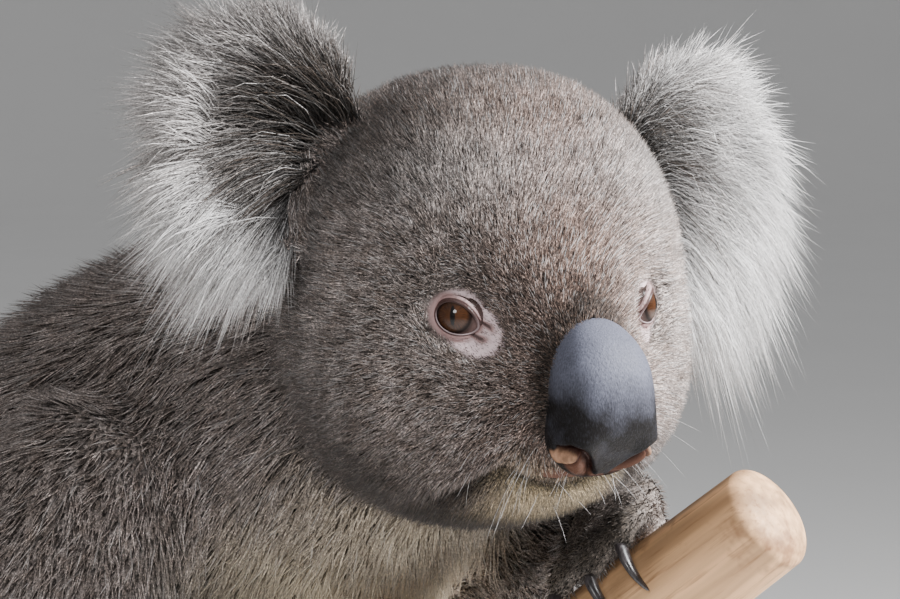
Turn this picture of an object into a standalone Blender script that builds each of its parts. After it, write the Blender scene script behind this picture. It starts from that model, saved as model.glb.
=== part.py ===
"""Life-size koala that clings to a short sloping log on a plain display stand.

Axes: +Z up, the body faces -Y and the koala's left side is +X. The origin is the centre of the
base's underside. Most of the body is placed beside the log, so its points are given as
(down the log, height over the log's axis, side), and the head has a frame of its own
(forward, left, up), because it is turned to the koala's right.
"""

import math

import bmesh
import bpy
import numpy as np
from mathutils import Matrix, Vector

MM = 0.001
GAP = 0.35 * MM  # clearance between two solids that touch
END_CROWDING = 0.11  # how much closer a limb's rings stand near its ends

# Log: a straight length of bare branch that rises in front of the koala.
LOG_SLOPE = math.radians(38.0)
LOG_TOP = Vector((0.0, -0.270, 0.375))  # centre of the upper sawn end
LOG_LENGTH = 0.500
LOG_TOP_RADIUS = 0.0180
LOG_FOOT_RADIUS = 0.0235
LOG_EDGE = 0.0020
LOG_SWELL = 0.00045
LOG_SIDES = 16
LOG_RINGS = 10
LOG_AXIS = Vector((0.0, -math.cos(LOG_SLOPE), math.sin(LOG_SLOPE)))
LOG_UP = Vector((0.0, math.sin(LOG_SLOPE), math.cos(LOG_SLOPE)))
LEFT = Vector((1.0, 0.0, 0.0))

# Head, turned to the right of the body.
HEAD_TURN = math.radians(25.0)
HEAD_CENTRE = Vector((-0.045, -0.1863, 0.442))
HEAD_FRONT = 0.0520  # centre to the face, without the muzzle
HEAD_BACK = 0.0640
HEAD_HALF_WIDTH = 0.0660
HEAD_TOP = 0.0740
HEAD_BOTTOM = 0.0740
HEAD_FORWARD = Vector((-math.sin(HEAD_TURN), -math.cos(HEAD_TURN), 0.0))
HEAD_LEFT = Vector((math.cos(HEAD_TURN), -math.sin(HEAD_TURN), 0.0))

# Swellings and hollows of the head: where (forward, left, up), height in mm, width in degrees.
PAIRED_SWELLINGS = {
    "cheek": ((0.30, 0.86, -0.38), 4.5, 26),
    "lip pad": ((0.72, 0.50, -0.56), 4.5, 20),
    "eye hollow": ((0.74, 0.67, -0.03), -6.6, 16),
    "corner under the ear": ((0.10, 0.66, 0.76), -1.0, 24),
    "jaw corner": ((0.20, 0.72, -0.72), 1.5, 24),
}
MIDDLE_SWELLINGS = {
    "bridge of the nose": ((1.0, 0.0, -0.06), 10.0, 17),
    "muzzle": ((0.90, 0.0, -0.52), 11.5, 23),
    "chin": ((0.55, 0.0, -0.95), 3.0, 20),
    "slope of the forehead": ((0.80, 0.0, 0.75), -2.5, 25),
}
HEAD_BULK = 2.3  # 2 is an ellipsoid, more is boxier
HEAD_SEGMENTS = 28
HEAD_RINGS = 16

EYE_RADIUS = 0.0085
EYE_PLACE = (0.0357, 0.0328, -0.0020)  # forward, out to each side, up
NOSE_PLACE = (0.0640, 0.0, -0.0260)
NOSE_HALF = (0.0130, 0.0172, 0.0265)  # depth, width, height
NOSE_LEAN = 0.0060
NOSE_TOP_NARROWING = 0.16
NOSE_FOOT_NARROWING = 0.10

# The lower jaw is what lies under the mouth's line and ahead of its corners, in axes tilted with the mouth.
MOUTH_TILT = math.radians(22.0)
MOUTH_LINE = -0.0330
MOUTH_CORNERS = 0.0500
JAW_BLOCK = 0.09

# Ears with their long fringe: place in the head (forward, out, up), half width, height and thickness, lean.
EARS = {
    "ear_left": (1, (-0.008, 0.091, 0.034), (0.046, 0.053, 0.017), 0.25),
    "ear_right": (-1, (-0.008, 0.079, 0.050), (0.040, 0.052, 0.017), 0.15),
}
EAR_FACING = (0.96, 0.18, 0.05)
EAR_DISH = 0.30
EAR_THIN_RIM = 0.35

# Display stand.
BASE_LENGTH = 0.460
BASE_WIDTH = 0.300
BASE_THICKNESS = 0.020
BASE_CORNER = 0.030
BASE_CHAMFER = 0.0025
ROD_RADIUS = 0.0060
ROD_PLACES = {"stand_rod_front": 0.085, "stand_rod_back": 0.440}  # down the log

COAT_GREY = (0.33, 0.31, 0.30)
COAT_PALE = (0.62, 0.60, 0.57)
NOSE_GREY = (0.10, 0.11, 0.13)
EYE_BROWN = (0.16, 0.07, 0.02)
CLAW_BLACK = (0.03, 0.03, 0.035)
BARE_WOOD = (0.62, 0.44, 0.27)
BASE_WOOD = (0.10, 0.07, 0.05)
ROD_STEEL = (0.30, 0.30, 0.31)


def clear_scene():
    for obj in list(bpy.data.objects):
        bpy.data.objects.remove(obj, do_unlink=True)


def material(name, colour, roughness, metallic=0.0):
    made = bpy.data.materials.get(name)
    if made is None:
        made = bpy.data.materials.new(name)
        made.use_nodes = True
        shader = made.node_tree.nodes["Principled BSDF"]
        shader.inputs["Base Color"].default_value = (*colour, 1.0)
        shader.inputs["Roughness"].default_value = roughness
        shader.inputs["Metallic"].default_value = metallic
    return made


def add_object(name, mesh, finish):
    obj = bpy.data.objects.new(name, mesh)
    bpy.context.scene.collection.objects.link(obj)
    mesh.materials.append(finish)
    return obj


def by_log(down, height, side=0.0):
    """The point this far down the log from its upper end, over its axis and to the left, from mm."""
    shift = float(height) * LOG_UP - float(down) * LOG_AXIS + float(side) * LEFT
    return LOG_TOP + MM * shift


def log_radius(down):
    """The log's radius this far down it, in mm."""
    share = down * MM / LOG_LENGTH
    return (LOG_TOP_RADIUS + (LOG_FOOT_RADIUS - LOG_TOP_RADIUS) * share) / MM


def round_log(down, turn, over):
    """A point this far over the log's surface, turned in degrees from the log's upper side to the left."""
    angle = math.radians(turn)
    radius = log_radius(down) + over
    return by_log(down, radius * math.cos(angle), radius * math.sin(angle))


def head_matrix(forward=0.0, left=0.0, up=0.0):
    """The head's frame, moved to a place in it: X forward, Y left, Z up."""
    turn = Matrix((HEAD_FORWARD, HEAD_LEFT, (0.0, 0.0, 1.0))).transposed().to_4x4()
    return Matrix.Translation(HEAD_CENTRE) @ turn @ Matrix.Translation((forward, left, up))


def unit(vector):
    return vector / np.linalg.norm(vector)


def smooth_rows(knots, count):
    """Rows along a Catmull-Rom curve through the knots, evenly spaced in its parameter."""
    rows = np.array(knots, float)
    padded = np.vstack([2 * rows[0] - rows[1], rows, 2 * rows[-1] - rows[-2]])
    place = np.linspace(0.0, len(rows) - 1.0, count)
    start = np.minimum(place.astype(int), len(rows) - 2)
    t = (place - start)[:, None]
    before, here, after, beyond = (padded[start + i] for i in range(4))
    return 0.5 * (
        2 * here
        + (after - before) * t
        + (2 * before - 5 * here + 4 * after - beyond) * t**2
        + (3 * here - before - 3 * after + beyond) * t**3
    )


def spaced_rows(rows, rings, caps):
    """Rows spaced closer near both ends of their curve, with radii drawn in to a point over the caps."""
    steps = np.linalg.norm(np.diff(rows[:, :3], axis=0), axis=1)
    length = np.concatenate([[0.0], np.cumsum(steps)])
    share = np.linspace(0.0, 1.0, rings)
    place = length[-1] * (share - END_CROWDING * np.sin(2 * math.pi * share))
    spaced = np.column_stack([np.interp(place, length, column) for column in rows.T])
    near = np.clip(place / caps[0], 0.0, 1.0)
    far = np.clip((length[-1] - place) / caps[1], 0.0, 1.0)
    spaced[:, 3:] *= np.sqrt((1 - (1 - near) ** 2) * (1 - (1 - far) ** 2))[:, None]
    return spaced


def tube_rings(rows, across, sides, square=2.0):
    """Rings of points round the inner rows of x, y, z, half width and half depth."""
    ahead = np.gradient(rows[:, :3], axis=0)
    ahead /= np.linalg.norm(ahead, axis=1)[:, None]
    wide = np.array(across) - (ahead @ np.array(across))[:, None] * ahead
    wide /= np.linalg.norm(wide, axis=1)[:, None]
    deep = np.cross(ahead, wide)
    angle = np.arange(sides) * 2 * math.pi / sides
    across_share = np.sign(np.cos(angle)) * np.abs(np.cos(angle)) ** (2.0 / square)
    deep_share = np.sign(np.sin(angle)) * np.abs(np.sin(angle)) ** (2.0 / square)
    return (
        rows[1:-1, None, :3]
        + (rows[1:-1, 3, None] * across_share)[:, :, None] * wide[1:-1, None]
        + (rows[1:-1, 4, None] * deep_share)[:, :, None] * deep[1:-1, None]
    )


def tube_mesh(name, rows, across, sides, square=2.0):
    """A closed skin over rows: rings round the path, and a point at each end."""
    return ringed_mesh(name, tube_rings(rows, across, sides, square), rows[0, :3], rows[-1, :3])


def ringed_mesh(name, rings, first, last):
    """Faces over rings of points, closed by a point at each end and turned outwards."""
    count, sides = rings.shape[:2]
    points = np.vstack([rings.reshape(-1, 3), first, last])
    here = np.arange(sides)
    beside = (here + 1) % sides
    faces = []
    for ring in range(count - 1):
        low, high = ring * sides, (ring + 1) * sides
        faces += np.stack([low + here, low + beside, high + beside], 1).tolist()
        faces += np.stack([low + here, high + beside, high + here], 1).tolist()
    faces += [[count * sides, b, a] for a, b in zip(here.tolist(), beside.tolist())]
    top = (count - 1) * sides
    faces += [[count * sides + 1, top + a, top + b] for a, b in zip(here.tolist(), beside.tolist())]
    mesh = bpy.data.meshes.new(name)
    mesh.from_pydata(points.tolist(), [], faces)
    shell = bmesh.new()
    shell.from_mesh(mesh)
    bmesh.ops.recalc_face_normals(shell, faces=shell.faces)
    shell.to_mesh(mesh)
    shell.free()
    mesh.shade_smooth()
    return mesh


def limb_rows(knots, rings, caps, grow=0.0):
    """Rows of a rounded length of body. Knots are (down, height, side, half width, half depth), in mm."""
    rows = smooth_rows(knots, 8 * rings)
    places = np.array([by_log(*row[:3]) for row in rows])
    rows = np.column_stack([places, rows[:, 3:] * MM])
    rows = spaced_rows(rows, rings, (caps[0] * MM, caps[1] * MM))
    if grow:
        rows[:, 3:] += grow
        rows[0, :3] -= grow * unit(rows[1, :3] - rows[0, :3])
        rows[-1, :3] += grow * unit(rows[-1, :3] - rows[-2, :3])
    return rows


def limb_mesh(name, knots, rings, sides, caps, grow=0.0, across=LEFT):
    return tube_mesh(name, limb_rows(knots, rings, caps, grow), across, sides)


def spine_meshes(grow=0.0):
    """Trunk and neck, one skin parted by a flat cut."""
    rows = limb_rows(SPINE, SPINE_RINGS, SPINE_CAPS, grow)
    rings = tube_rings(rows, LEFT, SPINE_SIDES, SPINE_SQUARENESS)
    parting = rings[SPINE_PARTING]
    middle = parting.mean(0)
    ahead = unit(rows[SPINE_PARTING + 2, :3] - rows[SPINE_PARTING, :3])
    neck_rings = rings[SPINE_PARTING:].copy()
    neck_rings[0] += GAP * ahead
    return {
        "trunk": ringed_mesh("trunk", rings[: SPINE_PARTING + 1], rows[0, :3], middle),
        "neck": ringed_mesh("neck", neck_rings, middle + GAP * ahead, rows[-1, :3]),
        "spine_room": ringed_mesh("spine_room", rings, rows[0, :3], rows[-1, :3]),
    }


def cutter(obj):
    obj.hide_render = True
    obj.display_type = "WIRE"
    return obj


def cut(obj, tool, operation="DIFFERENCE"):
    made = obj.modifiers.new("by_" + tool.name, "BOOLEAN")
    made.operation = operation
    made.solver = "EXACT"
    made.object = tool


def guide(name, mesh):
    """An object that only cuts others."""
    return cutter(add_object(name, mesh, material("guide", COAT_GREY, 1.0)))


def join_meshes(name, meshes):
    """One mesh object's worth of several meshes, left as separate closed bodies."""
    joined = bmesh.new()
    for mesh in meshes:
        joined.from_mesh(mesh)
    made = bpy.data.meshes.new(name)
    joined.to_mesh(made)
    joined.free()
    made.shade_smooth()
    return made


# ---------------------------------------------------------------- head


def lump(directions, towards, height, width):
    """A round swelling on the unit directions near one: a Gaussian of the angle in degrees."""
    aim = np.array(towards, float)
    aim /= np.linalg.norm(aim)
    angle = np.degrees(np.arccos(np.clip(directions @ aim, -1.0, 1.0)))
    return height * np.exp(-((angle / width) ** 2))


def head_points(directions):
    """The head's surface, coat included, along unit directions in its frame: an egg with named swellings."""
    x, y, z = directions.T
    half_length = np.where(x > 0, HEAD_FRONT, HEAD_BACK)
    half_height = np.where(z > 0, HEAD_TOP, HEAD_BOTTOM)
    squared = np.abs(x / half_length) ** HEAD_BULK + np.abs(y / HEAD_HALF_WIDTH) ** HEAD_BULK
    reach = (squared + np.abs(z / half_height) ** HEAD_BULK) ** (-1.0 / HEAD_BULK)
    for towards, height, width in PAIRED_SWELLINGS.values():
        for side in (-1, 1):
            reach += lump(directions, (towards[0], towards[1] * side, towards[2]), height * MM, width)
    for towards, height, width in MIDDLE_SWELLINGS.values():
        reach += lump(directions, towards, height * MM, width)
    return directions * reach[:, None]


def ball_mesh(name, radius, segments, rings):
    """A ball of triangles, so that a grown copy bends along the same edges."""
    mesh = bpy.data.meshes.new(name)
    ball = bmesh.new()
    bmesh.ops.create_uvsphere(ball, u_segments=segments, v_segments=rings, radius=radius)
    bmesh.ops.triangulate(ball, faces=ball.faces[:], quad_method="FIXED")
    ball.to_mesh(mesh)
    ball.free()
    mesh.shade_smooth()
    return mesh


def head_shell(name, finish, grow=0.0):
    mesh = ball_mesh(name, 1.0, HEAD_SEGMENTS, HEAD_RINGS)
    directions = np.array([v.co for v in mesh.vertices])
    directions /= np.linalg.norm(directions, axis=1)[:, None]
    for vert, place in zip(mesh.vertices, (head_points(directions) + grow * directions).tolist()):
        vert.co = place
    head = add_object(name, mesh, finish)
    head.matrix_world = head_matrix()
    return head


def eye_object(name, side, finish, grow=0.0):
    eye = add_object(name, ball_mesh(name, EYE_RADIUS + grow, 12, 8), finish)
    forward, out, up = EYE_PLACE
    eye.matrix_world = head_matrix(forward, out * side, up)
    return eye


def nose_object(name, finish, grow=0.0):
    """The bare nose: an egg on end that leans back at its top and overhangs the mouth."""
    mesh = ball_mesh(name, 1.0, 14, 10)
    depth, width, height = NOSE_HALF
    for vert in mesh.vertices:
        x, y, z = vert.co
        top, foot = max(z, 0.0), max(-z, 0.0)
        lean = -NOSE_LEAN * top**2
        fullness = 1.0 - NOSE_TOP_NARROWING * top**2 - NOSE_FOOT_NARROWING * foot**3
        vert.co = (x * (depth + grow) + lean, y * (width + grow) * fullness, z * (height + grow))
    nose = add_object(name, mesh, finish)
    nose.matrix_world = head_matrix(*NOSE_PLACE)
    return nose


def ear_object(name, ear, finish, grow=0.0):
    """A fluffy round ear: a thick disc, dished at its front, with its fringe of long hair included."""
    side, place, half, lean = ear
    mesh = ball_mesh(name, 1.0, 18, 8)
    width, height, thick = (size + grow for size in half)
    for vert in mesh.vertices:
        x, y, z = vert.co
        edge = min(1.0, x * x + y * y)
        dish = EAR_DISH * half[1] * (edge - 0.35)
        vert.co = (x * width, y * height, z * thick * (1.0 - EAR_THIN_RIM * edge) + dish)
    towards = Vector((EAR_FACING[0], EAR_FACING[1] * side, EAR_FACING[2])).normalized()
    upward = Vector((0.0, math.sin(lean) * side, math.cos(lean)))
    outward = upward.cross(towards).normalized()
    upward = towards.cross(outward)
    turn = Matrix((outward, upward, towards)).transposed().to_4x4()
    made = add_object(name, mesh, finish)
    made.matrix_world = head_matrix(place[0], place[1] * side, place[2]) @ turn
    return made


def mouth_block(name, grow):
    """A cutter for the lower jaw: all that lies under the mouth's line and ahead of its corners."""
    mesh = bpy.data.meshes.new(name)
    block = bmesh.new()
    bmesh.ops.create_cube(block, size=JAW_BLOCK)
    block.to_mesh(mesh)
    block.free()
    made = guide(name, mesh)
    shift = (MOUTH_CORNERS + JAW_BLOCK / 2 - grow, 0.0, MOUTH_LINE - JAW_BLOCK / 2 + grow)
    made.matrix_world = head_matrix() @ Matrix.Rotation(MOUTH_TILT, 4, "Y") @ Matrix.Translation(shift)
    return made


def build_head():
    """The head's pieces. Returns the cutters that clear the body of them."""
    coat = material("coat_grey", COAT_GREY, 0.9)
    pale = material("coat_pale", COAT_PALE, 0.9)
    leather = material("nose_leather", NOSE_GREY, 0.45)
    brown = material("eye_brown", EYE_BROWN, 0.1)
    head = head_shell("head", coat)
    jaw = head_shell("lower_jaw", coat)
    nose_object("nose", leather)
    around_nose = cutter(nose_object("nose_room", leather, GAP))
    cut(head, around_nose)
    cut(jaw, around_nose)
    for name, side in (("left", 1), ("right", -1)):
        eye_object("eye_" + name, side, brown)
        cut(head, cutter(eye_object("eye_room_" + name, side, brown, GAP)))
    cut(head, mouth_block("jaw_room", GAP))
    cut(jaw, mouth_block("jaw_part", 0.0), "INTERSECT")
    rooms = [cutter(head_shell("head_room", coat, GAP))]
    for name, ear in EARS.items():
        cut(ear_object(name, ear, pale), rooms[0])
        rooms.append(cutter(ear_object(name + "_room", ear, pale, GAP)))
    return rooms


# ---------------------------------------------------------------- body and limbs

# Knots are (down the log, height over its axis, side, half width, half depth), in mm.
SPINE = (
    (440, 84, 0, 58, 50),
    (405, 94, 0, 94, 80),
    (345, 108, 0, 110, 93),
    (280, 121, 0, 106, 101),
    (210, 127, -2, 100, 100),
    (150, 124, -8, 88, 88),
    (105, 117, -18, 72, 70),
    (70, 110, -30, 60, 58),
    (30, 104, -42, 50, 50),
)
SPINE_RINGS = 22
SPINE_SIDES = 20
SPINE_CAPS = (80, 14)
SPINE_SQUARENESS = 2.12
SPINE_PARTING = 13  # the ring where the trunk ends and the neck and shoulders begin
# name: (knots, rings, sides, cap lengths). Earlier pieces keep their shape where two would meet.
LIMBS = {
    "thigh_left": (
        ((385, 92, 44, 50, 52), (328, 98, 90, 56, 64), (252, 92, 120, 42, 48)),
        10,
        14,
        (50, 42),
    ),
    "thigh_right": (
        ((385, 92, -44, 50, 52), (332, 98, -90, 56, 64), (260, 90, -122, 42, 48)),
        10,
        14,
        (50, 42),
    ),
    "upper_arm_left": (
        ((132, 146, 50, 46, 46), (166, 116, 86, 45, 45), (188, 78, 104, 38, 38)),
        8,
        13,
        (36, 32),
    ),
    "upper_arm_right": (
        ((142, 144, -60, 46, 46), (182, 112, -96, 45, 45), (210, 74, -112, 38, 38)),
        8,
        13,
        (36, 32),
    ),
    "shank_left": (
        ((258, 88, 118, 38, 38), (290, 54, 100, 40, 38), (324, 26, 70, 26, 26)),
        8,
        13,
        (30, 22),
    ),
    "shank_right": (
        ((264, 86, -120, 38, 38), (304, 52, -100, 40, 38), (340, 26, -70, 26, 26)),
        8,
        13,
        (30, 22),
    ),
    "forearm_left": (
        ((190, 74, 100, 34, 34), (138, 62, 70, 34, 33), (84, 40, 26, 23, 22)),
        9,
        13,
        (26, 20),
    ),
    "forearm_right": (
        ((210, 70, -108, 34, 34), (180, 44, -82, 34, 32), (142, 20, -46, 23, 22)),
        9,
        13,
        (26, 20),
    ),
}
# Hands and feet: the palm's or sole's knots, then each digit as down the log, first and last turn, half
# thickness. A turn is round the log in degrees, from its upper side to the koala's left.
PAWS = {
    "hand_left": (
        ((78, 40, 34, 20, 17), (66, 33, 18, 23, 14), (61, 29, 2, 22, 10)),
        (
            (46, 26, -58, 7.2),
            (61, 24, -64, 7.4),
            (77, 24, -58, 7.0),
            (53, 26, 100, 7.2),
            (72, 28, 106, 7.0),
        ),
    ),
    "hand_right": (
        ((137, 18, -50, 20, 17), (126, 18, -36, 23, 14), (121, 22, -22, 22, 10)),
        (
            (106, -36, 24, 7.0),
            (121, -36, 30, 7.4),
            (136, -36, 24, 7.0),
            (112, -56, -146, 7.2),
            (131, -58, -150, 7.0),
        ),
    ),
    "foot_left": (
        ((326, 24, 68, 22, 22), (296, 8, 48, 21, 18), (256, -4, 33, 22, 12)),
        (
            (232, 92, 150, 6.6),
            (246, 96, 158, 6.8),
            (260, 96, 158, 6.8),
            (275, 96, 152, 6.6),
            (241, 104, 36, 7.0),
        ),
    ),
    "foot_right": (
        ((342, 24, -68, 22, 22), (318, 8, -50, 21, 18), (304, -4, -34, 22, 12)),
        (
            (282, -92, -150, 6.6),
            (296, -96, -158, 6.8),
            (310, -96, -158, 6.8),
            (325, -96, -152, 6.6),
            (289, -104, -36, 7.0),
        ),
    ),
}
CLAWLESS = ("foot_left", "foot_right")  # their last digit, the great toe, has no claw
# Digits and claws, in mm and in degrees round the log.
DIGIT_LIFT = 2.0
DIGIT_PRESS = 1.5
DIGIT_ROOT = 1.08
DIGIT_TIP = 0.86
CLAW_TURN = 30.0
CLAW_ROOT_TURN = 8.0
CLAW_HALF = 2.6
CLAW_TIP_HALF = 0.45
CLAW_TIP_OVER = 1.2
PAW_VOXEL = 0.0024
PAW_TRIANGLES_KEPT = 0.041


def round_path(down, turns, overs, halves):
    """Rows for a tube that follows the log's surface round it, from the first turn to the last."""
    rows = []
    for t in np.linspace(0.0, 1.0, 30).tolist():
        turn = turns[0] + (turns[1] - turns[0]) * t
        over = overs[0] + (overs[1] - overs[0]) * t
        half = (halves[0] + (halves[1] - halves[0]) * t) * MM
        rows.append([*round_log(down, turn, over), half, half])
    return np.array(rows)


def digit_mesh(name, down, first, last, half):
    """A digit that lies along the log's surface and thins towards its tip."""
    overs = (half + DIGIT_LIFT, half - DIGIT_PRESS)
    rows = round_path(down, (first, last), overs, (half * DIGIT_ROOT, half * DIGIT_TIP))
    return tube_mesh(name, spaced_rows(rows, 11, (half * MM, half * MM)), LOG_AXIS, 10)


def claw_mesh(name, down, last, towards, half, grow=0.0):
    """A curved claw that leaves the digit's tip and closes on the log: a cone bent round the log."""
    turns = (last - CLAW_ROOT_TURN * towards, last + CLAW_TURN * towards)
    rows = round_path(down, turns, (half + 0.5, CLAW_TIP_OVER), (CLAW_HALF, CLAW_TIP_HALF))
    rows = spaced_rows(rows, 6, (3.0 * MM, 1.5 * MM))
    rows[:, 3:] += grow
    return tube_mesh(name, rows, LOG_AXIS, 6)


def paw_object(name, palm, digits, finish):
    """Palm and digits run together, with sockets for the claws, closed round the log."""
    meshes = [limb_mesh(name, palm, 10, 16, (10, 8), across=LOG_AXIS)]
    meshes += [digit_mesh(name, *digit) for digit in digits]
    paw = add_object(name, join_meshes(name, meshes), finish)
    run_together = paw.modifiers.new("run_together", "REMESH")
    run_together.mode = "VOXEL"
    run_together.voxel_size = PAW_VOXEL
    fewer = paw.modifiers.new("fewer", "DECIMATE")
    fewer.ratio = PAW_TRIANGLES_KEPT
    return paw


def build_claws(name, digits, finish):
    """The claws of one paw, each its own object, and one cutter that makes all their sockets."""
    rooms = []
    clawed = digits[:-1] if name in CLAWLESS else digits
    for number, (down, first, last, half) in enumerate(clawed, 1):
        towards = 1 if last > first else -1
        claw = "claw_%s_%d" % (name, number)
        add_object(claw, claw_mesh(claw, down, last, towards, half), finish)
        rooms.append(claw_mesh(claw + "_room", down, last, towards, half, grow=GAP))
    return guide("claws_room_" + name, join_meshes("claws_room_" + name, rooms))


def near(one, other):
    """Whether two objects' boxes touch."""
    boxes = []
    for obj in (one, other):
        corners = np.array([obj.matrix_world @ Vector(c) for c in obj.bound_box])
        boxes.append((corners.min(0) - GAP, corners.max(0) + GAP))
    (low_a, high_a), (low_b, high_b) = boxes
    return bool((low_a < high_b).all() and (low_b < high_a).all())


def build_body(rooms):
    """Trunk, neck and limbs, then paws. Each is cut clear of all that was made before it."""
    coat = material("coat_grey", COAT_GREY, 0.9)
    horn = material("claw_horn", CLAW_BLACK, 0.35)
    spine = spine_meshes()
    for name in ("trunk", "neck"):
        piece = add_object(name, spine[name], coat)
        for room in rooms:
            if near(piece, room):
                cut(piece, room)
    rooms.append(guide("spine_room", spine_meshes(GAP)["spine_room"]))
    for name, (knots, rings, sides, caps) in LIMBS.items():
        piece = add_object(name, limb_mesh(name, knots, rings, sides, caps), coat)
        for room in rooms:
            if near(piece, room):
                cut(piece, room)
        rooms.append(guide(name + "_room", limb_mesh(name + "_room", knots, rings, sides, caps, grow=GAP)))
    for name, (palm, digits) in PAWS.items():
        paw = paw_object(name, palm, digits, coat)
        for room in [*rooms, build_claws(name, digits, horn)]:
            if near(paw, room):
                cut(paw, room)


# ---------------------------------------------------------------- log and stand


def log_mesh(name, grow=0.0):
    """The bare branch: a slow taper with shallow swellings and a rounded saw edge at both ends."""
    turn = np.arange(LOG_SIDES) * 2 * math.pi / LOG_SIDES
    inner = np.linspace(LOG_EDGE, LOG_LENGTH - LOG_EDGE, LOG_RINGS)
    down = np.concatenate([[0.0], inner, [LOG_LENGTH]])
    share = down / LOG_LENGTH
    radius = LOG_TOP_RADIUS + (LOG_FOOT_RADIUS - LOG_TOP_RADIUS) * share
    radius[[0, -1]] -= 0.75 * LOG_EDGE
    swell = LOG_SWELL * np.sin(9.0 * share[:, None] + 2 * turn)
    swell += 0.6 * LOG_SWELL * np.sin(17.0 * share[:, None] + 3 * turn)
    reach = radius[:, None] + swell + grow
    down[0] -= grow
    down[-1] += grow
    centre = np.array(LOG_TOP) - down[:, None] * np.array(LOG_AXIS)
    spokes = np.cos(turn)[:, None] * np.array(LOG_UP) + np.sin(turn)[:, None] * np.array(LEFT)
    points = centre[:, None] + reach[:, :, None] * spokes[None]
    return ringed_mesh(name, points, centre[0], centre[-1])


def build_base(finish):
    """A board with rounded corners and a small chamfer round its top."""
    outline = bmesh.new()
    bmesh.ops.create_grid(outline, x_segments=1, y_segments=1, size=0.5)
    bmesh.ops.scale(outline, vec=(BASE_WIDTH, BASE_LENGTH, 1.0), verts=outline.verts)
    corners = outline.verts[:]
    bmesh.ops.bevel(outline, geom=corners, offset=BASE_CORNER, segments=5, affect="VERTICES", profile=0.5)
    raised = bmesh.ops.extrude_face_region(outline, geom=outline.faces[:])
    top = [v for v in raised["geom"] if isinstance(v, bmesh.types.BMVert)]
    bmesh.ops.translate(outline, vec=(0.0, 0.0, BASE_THICKNESS), verts=top)
    bmesh.ops.recalc_face_normals(outline, faces=outline.faces[:])
    rim = [e for e in outline.edges if all(v.co.z > BASE_THICKNESS / 2 for v in e.verts)]
    bmesh.ops.bevel(outline, geom=rim, offset=BASE_CHAMFER, segments=2, affect="EDGES", profile=0.5)
    mesh = bpy.data.meshes.new("stand_base")
    outline.to_mesh(mesh)
    outline.free()
    return add_object("stand_base", mesh, finish)


def build_rod(name, down, finish, log_room):
    """An upright rod from the board to the log's underside, where it ends in a saddle cut to the log."""
    top = by_log(down, 0.0)
    low = BASE_THICKNESS + GAP
    mesh = bpy.data.meshes.new(name)
    rod = bmesh.new()
    depth = top.z - low
    bmesh.ops.create_cone(rod, cap_ends=True, segments=20, radius1=ROD_RADIUS, radius2=ROD_RADIUS,
                          depth=depth)
    rod.to_mesh(mesh)
    rod.free()
    mesh.shade_smooth()
    made = add_object(name, mesh, finish)
    made.location = (top.x, top.y, (top.z + low) / 2)
    cut(made, log_room)
    return made


def main():
    clear_scene()
    add_object("log", log_mesh("log"), material("bare_wood", BARE_WOOD, 0.65))
    log_room = guide("log_room", log_mesh("log_room", grow=GAP))
    build_base(material("base_wood", BASE_WOOD, 0.4))
    for name, down in ROD_PLACES.items():
        build_rod(name, down / MM, material("rod_steel", ROD_STEEL, 0.3, 1.0), log_room)
    head_rooms = build_head()
    bpy.context.view_layer.update()
    build_body([log_room, *head_rooms])


main()
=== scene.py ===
"""Koala gripping a cut log on a plain stand: skin, coat, eyes, nose, claws, wood and steel."""
import math

import bmesh
import bpy
import numpy as np
from bpy.props import FloatProperty, FloatVectorProperty, PointerProperty
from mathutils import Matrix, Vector


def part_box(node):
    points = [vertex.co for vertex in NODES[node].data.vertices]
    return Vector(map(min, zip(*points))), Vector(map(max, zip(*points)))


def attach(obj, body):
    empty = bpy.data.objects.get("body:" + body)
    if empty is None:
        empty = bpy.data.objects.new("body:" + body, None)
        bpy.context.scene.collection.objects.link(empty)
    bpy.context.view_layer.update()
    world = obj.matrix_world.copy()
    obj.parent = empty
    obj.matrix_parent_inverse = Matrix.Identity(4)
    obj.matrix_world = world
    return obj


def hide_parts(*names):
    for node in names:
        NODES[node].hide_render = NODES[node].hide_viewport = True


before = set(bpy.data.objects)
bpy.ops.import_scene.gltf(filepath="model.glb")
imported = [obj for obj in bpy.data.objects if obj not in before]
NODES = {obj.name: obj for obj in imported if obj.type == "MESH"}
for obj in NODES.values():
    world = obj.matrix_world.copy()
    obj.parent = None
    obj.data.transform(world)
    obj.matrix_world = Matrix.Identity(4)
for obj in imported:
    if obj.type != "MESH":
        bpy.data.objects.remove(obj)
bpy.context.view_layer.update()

bl_info = {
    "name": "Koala on a log",
    "version": (1, 0, 0),
    "blender": (4, 5, 0),
    "location": "3D View > Sidebar > Koala",
    "description": "Builds the koala's skin, coat, features, log and stand round the packed solids",
    "category": "Object",
}

MM = 0.001
FULL_TURN = 2 * math.pi

# ---------------------------------------------------------------- places, in the frame's axes
LOG_TOP = np.array((0.0, -0.270, 0.375))
LOG_SLOPE = math.radians(38)
LOG_AXIS = np.array((0.0, -math.cos(LOG_SLOPE), math.sin(LOG_SLOPE)))
LOG_UP = np.array((0.0, math.sin(LOG_SLOPE), math.cos(LOG_SLOPE)))
LOG_LEFT = np.array((1.0, 0.0, 0.0))
LOG_LENGTH = 0.500
LOG_RADII = (0.0180, 0.0235)
LOG_SWELL = 0.00045

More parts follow.
